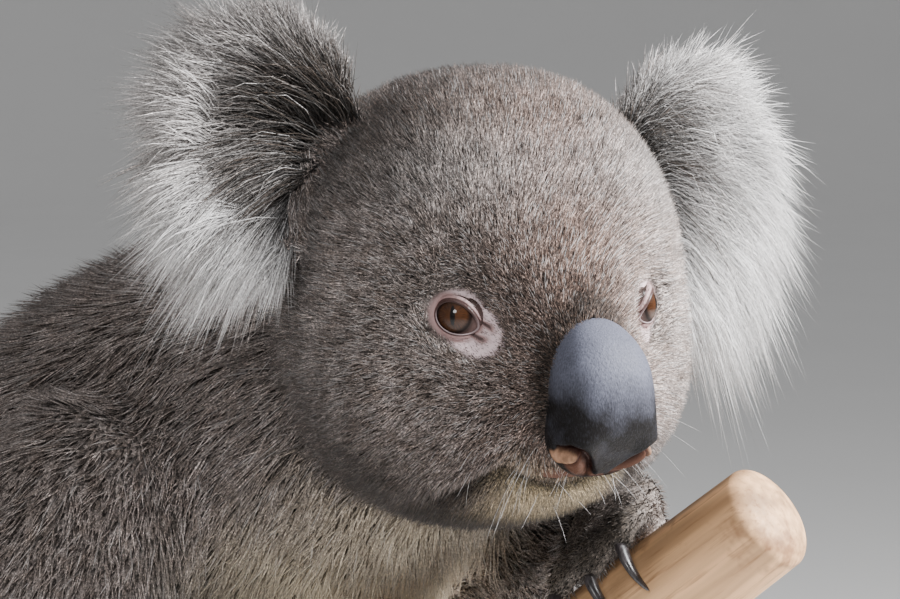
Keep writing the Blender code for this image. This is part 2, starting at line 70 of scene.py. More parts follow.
HEAD_CENTRE = np.array((-0.045, -0.1863, 0.442))
HEAD_TURN = math.radians(25)
HEAD_AXES = np.array((
    (-math.sin(HEAD_TURN), -math.cos(HEAD_TURN), 0.0),
    (math.cos(HEAD_TURN), -math.sin(HEAD_TURN), 0.0),
    (0.0, 0.0, 1.0),
))
EYE_RADIUS = 0.0085
EYE_SINK = 0.0010
EYE_PLACE = (0.0357, 0.0328, -0.0020)
LID_TILT = math.radians(27)
LID_CLEAR = 0.0004
NOSE_PLACE = np.array((0.0640, 0.0, -0.0260))
NOSE_HALF = np.array((0.0130, 0.0172, 0.0265))
EARS = {
    "left": (1, (-0.008, 0.091, 0.034), (0.046, 0.053, 0.017), 0.25),
    "right": (-1, (-0.008, 0.079, 0.050), (0.040, 0.052, 0.017), 0.15),
}

# Knots in millimetres: down the log, height over it, side, then half width and half depth
# of the trunk, or the radius of a limb.
SPINE = ((440, 84, 0, 58, 50), (405, 94, 0, 94, 80), (345, 108, 0, 110, 93),
         (280, 121, 0, 106, 101), (210, 127, -2, 100, 100), (150, 124, -8, 88, 88),
         (105, 117, -18, 72, 70), (70, 110, -30, 60, 58), (30, 104, -42, 50, 50))
LIMBS = {
    "leg_left": ((385, 92, 44, 50), (328, 98, 90, 56), (258, 88, 118, 40), (290, 54, 100, 39),
                 (324, 26, 70, 26), (326, 24, 68, 22), (296, 8, 48, 20), (256, -4, 33, 16)),
    "leg_right": ((385, 92, -44, 50), (332, 98, -90, 56), (264, 86, -120, 40), (304, 52, -100, 39),
                  (340, 26, -70, 26), (342, 24, -68, 22), (318, 8, -50, 20), (304, -4, -34, 16)),
    "arm_left": ((132, 146, 50, 46), (166, 116, 86, 45), (190, 74, 100, 36), (138, 62, 70, 33),
                 (84, 40, 26, 23), (78, 40, 34, 18), (66, 33, 18, 17), (61, 29, 2, 14)),
    "arm_right": ((142, 144, -60, 46), (182, 112, -96, 45), (210, 70, -108, 36), (180, 44, -82, 33),
                  (142, 20, -46, 23), (137, 18, -50, 18), (126, 18, -36, 17), (121, 22, -22, 14)),
}
PAW_KNOTS = 5
# Each clawed digit: millimetres down the log, the angles round it where it starts and ends,
# and its half thickness in millimetres.
DIGITS = {
    "hand_left": ((46, 26, -58, 7.2), (61, 24, -64, 7.4), (77, 24, -58, 7.0),
                  (53, 26, 100, 7.2), (72, 28, 106, 7.0)),
    "hand_right": ((106, -36, 24, 7.0), (121, -36, 30, 7.4), (136, -36, 24, 7.0),
                   (112, -56, -146, 7.2), (131, -58, -150, 7.0)),
    "foot_left": ((232, 92, 150, 6.6), (246, 96, 158, 6.8), (260, 96, 158, 6.8),
                  (275, 96, 152, 6.6)),
    "foot_right": ((282, -92, -150, 6.6), (296, -96, -158, 6.8), (310, -96, -158, 6.8),
                   (325, -96, -152, 6.6)),
}
FLESH = ("head", "lower_jaw", "neck", "trunk", "upper_arm_left", "upper_arm_right",
         "forearm_left", "forearm_right", "hand_left", "hand_right", "thigh_left",
         "thigh_right", "shank_left", "shank_right", "foot_left", "foot_right")

# ---------------------------------------------------------------- amounts
SKIN_CELL = 0.0030
TUFTS = {"coat_face_left": 47500, "coat_face_right": 49500, "coat_crown": 36500,
         "coat_back": 30500, "coat_chest": 21000, "coat_arms": 22000, "coat_legs": 22000}
EAR_STRANDS = {"front": 12400, "back": 5600}
STRAND_RINGS = 3
# The ear's leaf: its size as a share of the ear's hair, and how far it is set in and down.
LEAF_SHARE = 0.66
LEAF_SHIFT = (0.010, 0.004)
LOCKS = 512
LOCK_CELL = 0.0052
# For each ear: length of its hair over the reach to the outline, how much shorter the hair
# that runs down is, and how much it droops.
EAR_HAIR = {"left": (1.22, 0.48, 1.7), "right": (1.10, 0.32, 1.1)}
SEED_COAT, SEED_EARS, SEED_WHISKERS = 11, 31, 53
ROOT_SINK = 0.0006
MAP_PATCH = 0.0030
WHISKER_WIDTH = 0.00014
# How far each eye looks towards the nose, and both up.
GAZE_IN = {1: 0.14, -1: -0.045}
GAZE_UP = 0.100

# What one operator leaves for the next: the skin's arrays and facts, and shared materials.
SHARED = {}


# ---------------------------------------------------------------- sums on whole arrays
def by_log(knots):
    """Points from rows of (down, height, side) in mm: top of the log, less down along it, plus
    height off it, plus side to the koala's left."""
    k = np.asarray(knots, float)[..., :3] * MM
    return LOG_TOP + k[..., 1:2] * LOG_UP - k[..., 0:1] * LOG_AXIS + k[..., 2:3] * LOG_LEFT


def to_head(points):
    """The same points in the head's own axes: forward, left, up."""
    return (points - HEAD_CENTRE) @ HEAD_AXES.T


def from_head(points):
    """Points in the head's axes, put back into the frame."""
    return HEAD_CENTRE + np.asarray(points, float) @ HEAD_AXES


def unit(v):
    """Each row at length 1."""
    return v / np.maximum(np.linalg.norm(v, axis=-1, keepdims=True), 1e-12)


def dot(a, b):
    """Row by row scalar product, kept as a column."""
    return np.sum(a * b, axis=-1, keepdims=True)


def ease(x, low, high):
    """0 below low, 1 above high and the smooth cubic between them."""
    t = np.clip((x - low) / (high - low), 0.0, 1.0)
    return t * t * (3 - 2 * t)


def bell(x, width):
    """1 where x is 0, falling off as exp(-(x / width)^2)."""
    return np.exp(-(x / width) ** 2)


def circle(count):
    """Angles once round, evenly spaced."""
    return np.linspace(0, FULL_TURN, count, endpoint=False)


def drift(points, scale, phase):
    """Smooth wandering value from -1 to 1: the mean of three sine waves in crossed directions,
    each bent by the next."""
    p = points / scale
    a = np.sin(p[..., 0] * 1.7 + 1.3 * np.sin(p[..., 1] * 1.1 + phase) + phase)
    b = np.sin(p[..., 1] * 1.9 + 1.3 * np.sin(p[..., 2] * 1.3 + 2 * phase) + 3 * phase)
    c = np.sin(p[..., 2] * 1.5 + 1.3 * np.sin(p[..., 0] * 1.2 + 4 * phase) + 5 * phase)
    return (a + b + c) / 3


# ---------------------------------------------------------------- meshes and objects
def linked(name, data):
    """An object of a mesh, lamp or camera, in the scene at the origin."""
    obj = bpy.data.objects.new(name, data)
    bpy.context.scene.collection.objects.link(obj)
    return obj


def mesh_of(b, name):
    """A mesh from a bmesh, which is freed."""
    mesh = bpy.data.meshes.new(name)
    b.to_mesh(mesh)
    b.free()
    return mesh


def taken(obj):
    """An object's mesh, with the object itself removed."""
    mesh = obj.data
    bpy.data.objects.remove(obj)
    return mesh


def mesh_object(name, points, faces):
    """A smooth mesh object at the origin from an array of points and a list of arrays of
    triangles or quads."""
    mesh = bpy.data.meshes.new(name)
    points = np.asarray(points, np.float32).reshape(-1, 3)
    mesh.vertices.add(len(points))
    mesh.vertices.foreach_set("co", points.ravel())
    corners = np.concatenate([np.asarray(f, np.int32).ravel() for f in faces])
    sizes = np.concatenate([np.full(len(f), f.shape[1], np.int32) for f in faces])
    mesh.loops.add(len(corners))
    mesh.loops.foreach_set("vertex_index", corners)
    mesh.polygons.add(len(sizes))
    mesh.polygons.foreach_set("loop_start", (np.cumsum(sizes) - sizes).astype(np.int32))
    mesh.update(calc_edges=True)
    mesh.validate()
    mesh.polygons.foreach_set("use_smooth", np.full(len(sizes), True))
    return linked(name, mesh)


def grid_faces(rows, columns):
    """Quads of a grid of rows by columns, the columns joined round."""
    r, c = np.meshgrid(np.arange(rows - 1), np.arange(columns), indexing="ij")
    r, c = r.ravel(), c.ravel()
    d = (c + 1) % columns
    return np.stack((r * columns + c, r * columns + d, (r + 1) * columns + d,
                     (r + 1) * columns + c), 1)


def closed_surface(name, rings):
    """A grid of rings (rows by columns by 3) joined round, with its two ends closed by fans to
    their own middles."""
    rows, columns, _ = rings.shape
    points = np.vstack((rings.reshape(-1, 3), rings[0].mean(0), rings[-1].mean(0)))
    a = np.arange(columns)
    b = (a + 1) % columns
    low, high = rows * columns, rows * columns + 1
    end = (rows - 1) * columns
    fans = np.vstack((np.stack((np.full(columns, low), b, a), 1),
                      np.stack((end + a, end + b, np.full(columns, high)), 1)))
    obj = mesh_object(name, points, [grid_faces(rows, columns), fans])
    outwards(obj.data)
    return obj


def outwards(mesh):
    """Turns every face of a closed mesh outwards."""
    b = bmesh.new()
    b.from_mesh(mesh)
    bmesh.ops.recalc_face_normals(b, faces=b.faces)
    b.to_mesh(mesh)
    b.free()
    mesh.update()


def rows_of(items, key, width, kind):
    """One property of every item as an array of rows."""
    values = np.empty(len(items) * width, kind)
    items.foreach_get(key, values)
    return values.reshape(-1, width)


def points_of(mesh):
    """Vertex places as an array."""
    return rows_of(mesh.vertices, "co", 3, np.float32).astype(float)


def normals_of(mesh):
    """Vertex normals as an array."""
    return rows_of(mesh.vertices, "normal", 3, np.float32).astype(float)


def set_points(mesh, points):
    """Moves the vertices to the array's places."""
    mesh.vertices.foreach_set("co", points.astype(np.float32).ravel())
    mesh.update()


def put_attribute(mesh, name, values):
    """Stores an array of three or four columns at the vertices as a colour."""
    full = np.ones((len(values), 4), np.float32)
    full[:, :values.shape[1]] = values
    mesh.attributes.new(name, "FLOAT_COLOR", "POINT").data.foreach_set("color", full.ravel())


def relax(mesh, amount, rounds):
    """Smooths the mesh: each vertex moves towards the mean of its neighbours by amount (a
    number or one per vertex), then back a little further, so that the shape doesn't shrink."""
    p = points_of(mesh)
    e = rows_of(mesh.edges, "vertices", 2, np.int32)
    count = np.bincount(e.ravel(), minlength=len(p)).astype(float)[:, None]
    amount = np.broadcast_to(np.asarray(amount, float), (len(p),))[:, None]
    for _ in range(rounds):
        for step in (0.62, -0.64):
            total = np.stack([np.bincount(e[:, 0], p[e[:, 1], k], len(p))
                              + np.bincount(e[:, 1], p[e[:, 0], k], len(p)) for k in range(3)], 1)
            p = p + amount * step * (total / np.maximum(count, 1) - p)
    set_points(mesh, p)


def remesh(obj, size):
    """Fuses everything in the object into one closed mesh of even quads of that size."""
    m = obj.modifiers.new("fuse", "REMESH")
    m.mode = "VOXEL"
    m.voxel_size = size
    m.adaptivity = 0.0
    m.use_smooth_shade = True
    dg = bpy.context.evaluated_depsgraph_get()
    fused = bpy.data.meshes.new_from_object(obj.evaluated_get(dg))
    obj.modifiers.clear()
    old, obj.data = obj.data, fused
    bpy.data.meshes.remove(old)


def joined(name, meshes):
    """One object from several meshes, whose own data is then deleted."""
    b = bmesh.new()
    for m in meshes:
        b.from_mesh(m)
        bpy.data.meshes.remove(m)
    return linked(name, mesh_of(b, name))


def merged_copy(node, grow):
    """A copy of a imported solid's mesh with its loose triangles joined and grown by grow."""
    b = bmesh.new()
    b.from_mesh(NODES[node].data)
    bmesh.ops.remove_doubles(b, verts=b.verts, dist=1e-6)
    b.normal_update()
    for v in b.verts:
        v.co += v.normal * grow
    return mesh_of(b, node + "_copy")


# ---------------------------------------------------------------- where each part of the body is
def ear_axes(name):
    """Place, half sizes and the three axes (outward, upward, towards) of an ear, in the head's
    axes: it leans out by its lean and faces a little to its own side."""
    side, place, half, lean = EARS[name]
    upward = np.array((0.0, math.sin(lean) * side, math.cos(lean)))
    towards = unit(np.array((0.96, 0.18 * side, 0.05)))
    outward = unit(np.cross(upward, towards)) * side
    upward = unit(np.cross(towards, outward)) * side
    return np.array(place) * (1, side, 1), np.array(half), outward, upward, towards, side


def chain_distance(points, knots, radii):
    """Distance from each point to a chain of balls joined in a row, less their radius there,
    with the direction along the chain and how far along it the nearest place is."""
    best = np.full(len(points), 1e9)
    way = np.zeros_like(points)
    along = np.zeros(len(points))
    for n in range(len(knots) - 1):
        a, b = knots[n], knots[n + 1]
        line = b - a
        t = np.clip(((points - a) @ line) / max(float(line @ line), 1e-12), 0, 1)
        d = np.linalg.norm(points - (a + t[:, None] * line), axis=1) - (
            radii[n] + t * (radii[n + 1] - radii[n]))
        near = d < best
        best = np.where(near, d, best)
        way[near] = unit(line)
        along = np.where(near, n + t, along)
    return best, way, along


def body_parts(points):
    """For each point, how much it belongs to the head, the spine and each limb: the nearness
    of each, as exp(-distance / 8 mm), shared out to a sum of 1. With it come each part's
    direction and how far along the part the point lies."""
    r = np.linalg.norm(to_head(points) / (0.060, 0.068, 0.074), axis=1)
    parts = {"head": ((r - 1) * 0.066, np.zeros_like(points), r)}
    spine = np.array(SPINE[::-1], float)
    parts["spine"] = chain_distance(points, by_log(spine), spine[:, 3:5].mean(1) * MM)
    for name, knots in LIMBS.items():
        k = np.array(knots, float)
        parts[name] = chain_distance(points, by_log(k), k[:, 3] * MM)
    nearest = np.min([d for d, _, _ in parts.values()], axis=0)
    share = {n: np.exp(-(d - nearest) / (8 * MM)) for n, (d, _, _) in parts.items()}
    total = sum(share.values())
    return {n: (share[n] / total, parts[n][1], parts[n][2]) for n in parts}


# ---------------------------------------------------------------- skin
def coat_depth(points):
    """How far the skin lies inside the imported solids: 9 mm on the trunk, 8 to 6 down the limbs,
    5 at the back of the head, 2.5 on the face and 1.6 on the paws."""
    parts = body_parts(points)
    head = to_head(points)
    front = ease(head[:, 0], -0.020, 0.030)
    depth = parts["head"][0] * (5.0 - 2.5 * front)
    depth += parts["spine"][0] * (9.0 - 2.0 * ease(-parts["spine"][2], -2.5, -0.5))
    for name in LIMBS:
        share, _, along = parts[name]
        paw = ease(along, PAW_KNOTS - 1.3, PAW_KNOTS - 0.2)
        own = 8.0 - 2.0 * ease(along, 1.0, 2.4)
        depth += share * (own * (1 - paw) + 1.6 * paw)
    return depth * MM


def pinna(name):
    """The ear's own flesh: a cupped leaf up to 6 mm thick. Its outline is an ellipse two thirds
    the size of the ear's hair, set towards the head, and its middle is sunk by a paraboloid."""
    place, half, outward, upward, towards, _ = ear_axes(name)
    rows, columns = 14, 40
    turn = circle(columns)[None, :]
    out = np.sin(np.linspace(0.06, math.pi / 2, rows))[:, None]
    layers = []
    for face in (1, -1):
        x = out * np.cos(turn) * half[0] * LEAF_SHARE
        y = out * np.sin(turn) * half[1] * LEAF_SHARE
        thick = 0.0030 * np.sqrt(np.maximum(1 - out ** 8 * 0.90, 0)) * np.ones_like(turn)
        layer = np.stack((x, y, 0.010 * (out ** 2) - 0.008 + face * thick), -1)
        layers.append(layer if face == 1 else layer[::-1])
    local = np.concatenate(layers) + np.array((-LEAF_SHIFT[0], -LEAF_SHIFT[1], -0.002))
    q = place + (local[..., 0:1] * outward + local[..., 1:2] * upward + local[..., 2:3] * towards)
    return taken(closed_surface("pinna_" + name, from_head(q.reshape(-1, 3)).reshape(q.shape)))


def refine(mesh, centre, radius):
    """Halves the edges of every face whose middle is within radius of centre."""
    b = bmesh.new()
    b.from_mesh(mesh)
    c = Vector(centre)
    near = {e for f in b.faces if (f.calc_center_median() - c).length < radius for e in f.edges}
    bmesh.ops.subdivide_edges(b, edges=list(near), cuts=1, use_grid_fill=True)
    b.to_mesh(mesh)
    b.free()
    mesh.update()


def eye_axes(side):
    """Centre of an eyeball and its three axes in the head's axes: out of the face, towards the
    nose and up."""
    centre = np.array((EYE_PLACE[0], EYE_PLACE[1] * side, EYE_PLACE[2]))
    out = unit(centre)
    centre = centre - EYE_SINK * out
    inner = unit(np.cross((0.0, 0.0, 1.0), out)) * -side
    up = unit(np.cross(out, inner)) * -side
    return centre, out, inner, up


def lid_opening(turn):
    """Half width of the opening between the lids in each direction round the eye: a leaf
    with its inner corner lower and longer than its outer. It is
    (|cos / a|^k + |sin / b|^k)^(-1/k), the angle counted from the leaf's own length."""
    t = turn + LID_TILT
    c, s = np.cos(t), np.sin(t)
    a = np.where(c > 0, 7.3, 6.0) * MM
    b = 4.65 * MM
    sharp = np.where(c > 0, 1.75, 2.1)
    return (np.abs(c / a) ** sharp + np.abs(s / b) ** sharp) ** (-1 / sharp)


def round_eye(q, side):
    """For places in the head's axes: how far each is out of the face from the eyeball's
    centre, its direction round the eye, and how far it is past the opening of the lids."""
    centre, out, inner, up = eye_axes(side)
    v = q - centre
    i, u = v @ inner, v @ up
    turn = np.arctan2(u, i)
    return v @ out, turn, np.hypot(i, u) - lid_opening(turn)


def tear_folds(turn, past):
    """The two small folds that run from the inner corner of the eye towards the nose, and one
    under the lower lid: 1 in a fold and 0 clear of it, from the direction round the eye and
    the distance past the opening."""
    reach = ease(past, -0.0004, 0.0006) * (1 - ease(past, 0.0035, 0.0060))
    first = bell(turn + 0.22 + 25 * past, 0.10) * reach
    second = bell(turn + 0.85 - 40 * past, 0.13) * reach
    under = 0.6 * bell(past - 0.0022, 0.0005) * bell(turn + 1.55, 0.7)
    return np.maximum(np.maximum(first, second), under)


def sculpt_eye(points, side):
    """Moves the skin about one eye. Distances are taken from the eyeball's centre: inside the
    opening the skin drops behind the ball, at its rim it stands 0.4 mm off the ball, the lid
    follows the ball with a slight puff and a crease above, the corner sinks into the folds of
    the tear duct, and past a shallow hollow the rest fades into the face."""
    centre, out, inner, up = eye_axes(side)
    q = to_head(points)
    v = q - centre
    r = np.linalg.norm(v, axis=1)
    o, i, u = v @ out, v @ inner, v @ up
    away = np.hypot(i, u)
    turn = np.arctan2(u, i)
    angle = np.arctan2(away, o)
    edge = np.arcsin(np.clip(lid_opening(turn) / EYE_RADIUS, 0, 0.99))
    near = (angle < 2.2) & (o > -0.006)
    snap = np.abs(angle - edge) < 0.040
    angle2 = np.where(snap, edge, angle)
    past = angle2 - edge
    margin = EYE_RADIUS + LID_CLEAR
    lid = np.where(past < 0, margin - 0.0026 * ease(-past, 0.0, 0.10), margin)
    lower = ease(-np.sin(turn), -0.2, 0.9)
    crease = -0.0004 * bell(past - 0.30, 0.05) * (1 - lower)
    puff = 0.00025 * bell(past - 0.14, 0.10)
    duct = -0.0009 * tear_folds(turn, past * EYE_RADIUS)
    hollow = -0.0013 * np.exp(-((turn + 0.15) / 0.75) ** 2 - ((past - 0.55) / 0.28) ** 2)
    keep = 1 - (1 - ease(past, 0.16, 0.85)) * (1 - ease(r, 0.0120, 0.0165))
    target = np.where(past < 0, lid, (lid + crease + puff + duct) * (1 - keep) + r * keep + hollow)
    target = np.where(past > 0, np.maximum(target, margin - 0.0014), target)
    way = np.where(snap[:, None],
                   unit(np.cos(angle2)[:, None] * out + np.sin(angle2)[:, None]
                        * (np.cos(turn)[:, None] * inner + np.sin(turn)[:, None] * up)),
                   unit(v))
    fade = ease(past, 0.75, 1.0)
    moved = centre + way * target[:, None]
    q2 = np.where(near[:, None], moved * (1 - fade[:, None]) + q * fade[:, None], q)
    return from_head(q2)


def mouth_height(q):
    """How far a place in the head's axes is above the line of the mouth, whose height is
    18 * side^2 - 55 mm: it rises 9 mm from the middle to its corners, 22 mm out, and turns
    down past them as the fold between cheek and chin."""
    side = np.abs(q[:, 1])
    past = side - 0.0235
    fold = 0.5 * (past + np.sqrt(past ** 2 + 0.0030 ** 2))
    return q[:, 2] + 0.0550 - 18.0 * np.minimum(side, 0.022) ** 2 + 0.95 * fold


def foot_shift(side, foot):
    """How far the lower middle of the nose goes back, from the distance across over the half
    width and the distance down over the half height: the wings stay forward."""
    return 0.0065 * ease(foot, 0.30, 0.92) * (1 - ease(side, 0.25, 0.80))


def sculpt_muzzle(points):
    """Draws the skin back under the foot of the nose, the lips and chin by half as much, and
    lifts the chin."""
    q = to_head(points)
    f, l, u = q.T
    below = (1 - 0.45 * ease(-u, 0.054, 0.064)) * (1 - ease(-u, 0.066, 0.086))
    back = foot_shift(np.abs(l) / 0.0300, -(u + 0.026) / 0.0240) * below
    back = back * ease(f, 0.040, 0.066) + 0.0025 * ease(-u, 0.060, 0.072) * ease(f, 0.030, 0.050)
    lift = 0.0022 * ease(-u, 0.052, 0.072) * ease(f, 0.0, 0.030)
    return from_head(q + np.stack((-back, 0 * back, lift), -1))


def sculpt_mouth(points, normals):
    """Presses the line of the mouth into the skin: a groove 3 mm deep where the lips meet,
    with the upper lip 1.2 mm full above it and a short upright groove below the nose."""
    q = to_head(points)
    f, l = q.T[:2]
    line = mouth_height(q)
    front = ease(f, 0.026, 0.036)
    past = ease(np.abs(l), 0.020, 0.028)
    groove = -0.0030 * bell(line, 0.0016 + 0.0020 * past) * (1 - 0.3 * past)
    lip = 0.0012 * bell(line - 0.0046, 0.0030)
    cleft = -0.0012 * bell(l, 0.0012) * ease(line, 0.0, 0.002) * (1 - ease(line, 0.006, 0.010))
    return points + normals * ((groove + lip + cleft) * front)[:, None]


def make_skin():
    """The one skin: all flesh solids fused, smoothed, drawn in by the coat's depth, joined to
    the two ear leaves, and sculpted about the eyes and mouth."""
    meshes = [merged_copy(n, 0.0006) for n in FLESH] + [merged_copy("nose", 0.0)]
    meshes += [merged_copy("eye_left", LID_CLEAR), merged_copy("eye_right", LID_CLEAR)]
    skin = joined("skin", meshes)
    remesh(skin, SKIN_CELL)
    p = points_of(skin.data)
    parts = body_parts(p)
    paw = np.zeros(len(p))
    for name in LIMBS:
        paw += parts[name][0] * ease(parts[name][2], PAW_KNOTS - 1.2, PAW_KNOTS - 0.4)
    paw = np.clip(paw, 0, 1)
    relax(skin.data, np.clip(1 - 0.90 * parts["head"][0] - paw, 0, 1), 90)
    relax(skin.data, np.clip(0.8 - paw, 0, 1), 14)
    p, n = points_of(skin.data), normals_of(skin.data)
    set_points(skin.data, p - n * coat_depth(p)[:, None])
    relax(skin.data, 0.5 * (1 - paw), 4)
    skin = joined("skin", [taken(skin), pinna("left"), pinna("right")])
    remesh(skin, SKIN_CELL)
    relax(skin.data, 0.8, 3)
    for side in (1, -1):
        centre = from_head(eye_axes(side)[0])
        for radius in (0.021, 0.0165, 0.0135, 0.0112):
            refine(skin.data, centre, radius)
    refine(skin.data, from_head((0.058, 0.0, -0.058)), 0.024)
    relax(skin.data, 0.5, 2)
    p = sculpt_eye(sculpt_eye(points_of(skin.data), 1), -1)
    set_points(skin.data, sculpt_muzzle(p))
    set_points(skin.data, sculpt_mouth(points_of(skin.data), normals_of(skin.data)))
    return skin


# ---------------------------------------------------------------- what the skin knows at each place
def bare_patch(points, wider=0.0):
    """How bare the skin is about the eyes: 1 on the lids and on a patch that is 2 mm wide at
    the outer side, 3 to 4 mm over the eye and 9 mm wide towards the nose and below; all of it
    grown by wider."""
    q = to_head(points)
    bare = np.zeros(len(q))
    for side in (1, -1):
        ahead, turn, past = round_eye(q, side)
        width = (2.1 + 7.6 * bell(turn + 0.70, 0.72) + 1.6 * bell(turn - 1.1, 0.8)) * MM + wider
        here = (1 - ease(past, width - 1.0 * MM, width + 1.2 * MM)) * (ahead > -0.002)
        bare = np.maximum(bare, here)
    return bare


def lip_share(q):
    """Where the skin under the nose and along the lower lip is bare and dark: an ellipse over
    the line of the mouth and a flatter, fainter one under it."""
    over = mouth_height(q)
    above = 1 - ease(np.hypot(q[:, 1] / 0.0145, (over - 0.0026) / 0.0054), 0.7, 1.1)
    below = 1 - ease(np.hypot(q[:, 1] / 0.0150, (over + 0.0026) / 0.0026), 0.6, 1.2)
    front = q[:, 0] > 0.045
    return np.clip(above * front + 0.8 * below * front, 0, 1)


def rim_share(q):
    """The dark edge of the lids at 1, wider on the upper lid, with the folds of the inner corner;
    and the lids' own tint at a half, wider at the outer side. The dark edge is partly the lids' own
    dark margin and partly painted shade, and the dark in the folds, the one under the lower lid
    too, is painted shade."""
    rim = np.zeros(len(q))
    for side in (1, -1):
        ahead, turn, past = round_eye(q, side)
        upper = 0.0004 * ease(np.sin(turn + 0.47), 0.0, 0.5)
        edge = np.maximum(1 - ease(past - upper, 0.0004, 0.0011), tear_folds(turn, past))
        outer = 0.0014 * ease(-np.cos(turn), -0.2, 0.6)
        tint = 0.5 - 0.5 * ease(past - outer, 0.0008, 0.0032)
        rim = np.maximum(rim, (ahead > 0) * np.maximum(edge, tint))
    return rim


def leaf_out(local, half):
    """How far out on an ear's leaf a place is, over the half sizes of the ear's hair."""
    return np.hypot((local[:, 0] + LEAF_SHIFT[0]) / half[0],
                    (local[:, 1] + LEAF_SHIFT[1]) / half[1])


def ear_place(points, name):
    """Places in an ear's own axes, its half sizes, and whether each point is on that ear's
    leaf, clear of the head."""
    place, half, outward, upward, towards, _ = ear_axes(name)
    q = to_head(points)
    v = q - place
    local = np.stack((v @ outward, v @ upward, v @ towards), -1)
    clear = np.linalg.norm(q / (0.058, 0.068, 0.072), axis=1) > 1.04
    on = (leaf_out(local, half) < 0.75) & (np.abs(local[:, 2]) < 0.014) & clear
    return local, half, on


def nose_distance(points):
    """How far each point lies outside the nose, roughly: (|place / half size| - 1) * 17.5 mm."""
    q = (to_head(points) - NOSE_PLACE) / NOSE_HALF
    return (np.linalg.norm(q, axis=1) - 1) * 0.0175


def skin_facts(points, normals):
    """Everything that the coat needs at each place: shares of the body's parts, lie of the
    hair, its length, width and lean, four markings (pale, brown, dark, cream) and bareness."""
    parts = body_parts(points)
    q = to_head(points)
    f, l, u = q.T
    head = parts["head"][0].copy()
    spine, spine_way, spine_along = parts["spine"]
    bare = bare_patch(points)
    # lie of the hair: away from the nose on the head, down the spine, down each limb
    d = unit(q)
    nose = unit(np.array((0.80, 0.0, -0.42)))
    lie = unit(dot(np.broadcast_to(nose, d.shape), d) * d - nose)
    cheek = ease(np.abs(l), 0.020, 0.055) * ease(-u, -0.035, 0.020)
    lie = unit(lie + cheek[:, None] * np.array((-0.10, 0.0, -0.42)))
    flow = head[:, None] * (lie @ HEAD_AXES)
    flow += spine[:, None] * (spine_way + np.array((0, 0, -0.35)))
    limb = np.zeros(len(points))
    paw = np.zeros(len(points))
    for name in LIMBS:
        share, way, along = parts[name]
        flow += share[:, None] * (way + np.array((0, 0, -0.25)))
        limb += share
        paw += share * ease(along, PAW_KNOTS - 1.3, PAW_KNOTS - 0.2)
    swirl = np.stack([drift(points, 0.012, k) for k in (0.3, 1.7, 2.9)], -1)
    flow = unit(flow) + 0.16 * swirl
    flow = unit(flow - dot(flow, normals) * normals)
    # size of the hair, shorter by the nose, along the mouth and round the bare patches
    front = head * ease(f, -0.015, 0.030)
    length = (head * (9.0 - 5.2 * ease(f, -0.040, 0.035)) + spine * 17 + limb * 13
              - paw * 8.0) * MM
    near_nose = ease(-nose_distance(points), -0.016, -0.002)
    length *= 1 - 0.45 * near_nose * head
    over = mouth_height(q)
    edge = bell(over, 0.0040) * ease(f, 0.028, 0.042)
    length *= 1 - 0.60 * edge * head
    length *= (1 - 0.50 * bare_patch(points, 0.0032) * head) * (1 - 0.45 * bare)
    width = (head * (0.62 - 0.20 * front) + spine * 1.1 + limb * 1.0 - paw * 0.45) * MM
    width *= 1 - 0.45 * bare
    lean = np.radians(head * (29 + 12 * front) + spine * 27 + limb * 27 - paw * 2)
    facts = {"bare": bare, "flow": flow, "length": length, "width": width, "lean": lean,
             "head": head, "limb": limb, "paw": paw, "spine_along": spine_along}
    for name in LIMBS:
        facts[name], _, facts[name + "_along"] = parts[name]
    # markings; the dark one also holds painted shade, noted below
    down = normals[:, 2]
    inside = 1 - ease(np.abs(l), 0.013, 0.029)
    chin = head * ease(-over, -0.001, 0.003) * ease(f, -0.010, 0.030)
    lip = head * bell(over - 0.0035, 0.0045) * ease(f, 0.032, 0.050)
    neck = ease(-spine_along, -3.2, -1.0)
    belly = spine * ease(by_log_height(points), 0.108, 0.062) * (1 - neck)
    belly += spine * neck * ease(f - 0.9 * u, 0.028, 0.062)
    belly *= 1 - ease(head, 0.25, 0.60)
    cream = 0.45 * chin * inside * ease(f, 0.018, 0.044) + 0.20 * lip * inside + belly
    pale = limb * (1 - paw) * 0.35 * ease(-down, 0.0, 0.8) + 0.25 * belly
    rump = spine * ease(spine_along, 6.2, 7.6) * (0.5 + 0.5 * drift(points, 0.010, 6.1))
    pale += 0.35 * rump + 0.08 * head * bell(u - 0.040, 0.014) * ease(f, 0.005, 0.035)
    brown = head * (0.75 * ease(u, 0.032, 0.070) * ease(f, -0.040, 0.005)
                    + 1.1 * bell(l, 0.033) * ease(f, 0.022, 0.046))
    brown += 0.25 * spine * (0.5 + 0.5 * drift(points, 0.050, 2.2))
    # Painted shade: dark fur round the upper nose pad where the fur meets it, on its right side and
    # middle.
    outline = bell(nose_distance(points), 0.0050)
    dark = 0.95 * outline * ease(u, -0.050, -0.034) * ease(0.022 - l, -0.008, 0.012) * head
    # Painted shade: dark in the corners of the mouth and along the groove where the lips meet.
    corner = np.exp(-(((over + 0.0008) / 0.0042) ** 2 + ((np.abs(l) - 0.024) / 0.009) ** 2))
    # The paws' darkening on the next line is partly their own dark fur and partly painted shade,
    # lifted on the knuckles as a painted highlight.
    dark += 0.60 * corner * head * ease(f, 0.0, 0.02) + 0.62 * paw * (1 - 0.9 * lit_knuckles(points))
    dark += 0.85 * head * bell(over, 0.0021) * ease(f, 0.030, 0.042) * inside
    # Painted shade on the chin.
    dark += 0.34 * chin
    # Painted shade on the lower sides of the head, deepening downwards.
    dark += (0.92 * head * ease(-u, 0.008, 0.056) * (1 - ease(f, 0.018, 0.052))
             * ease(f, -0.052, -0.022))
    for name in EARS:
        local, half, on = ear_place(points, name)
        # Painted shade where the front of each ear meets the head.
        ring = bell(np.hypot(local[:, 0] + half[0], local[:, 1] + 0.006), 0.026)
        dark += 0.60 * ring * head * ease(local[:, 2], -0.004, 0.006)
        facts["ear_" + name] = on.astype(float)
    facts["marking"] = np.clip(np.stack((pale, brown, dark, cream), -1), 0, 1)
    return facts


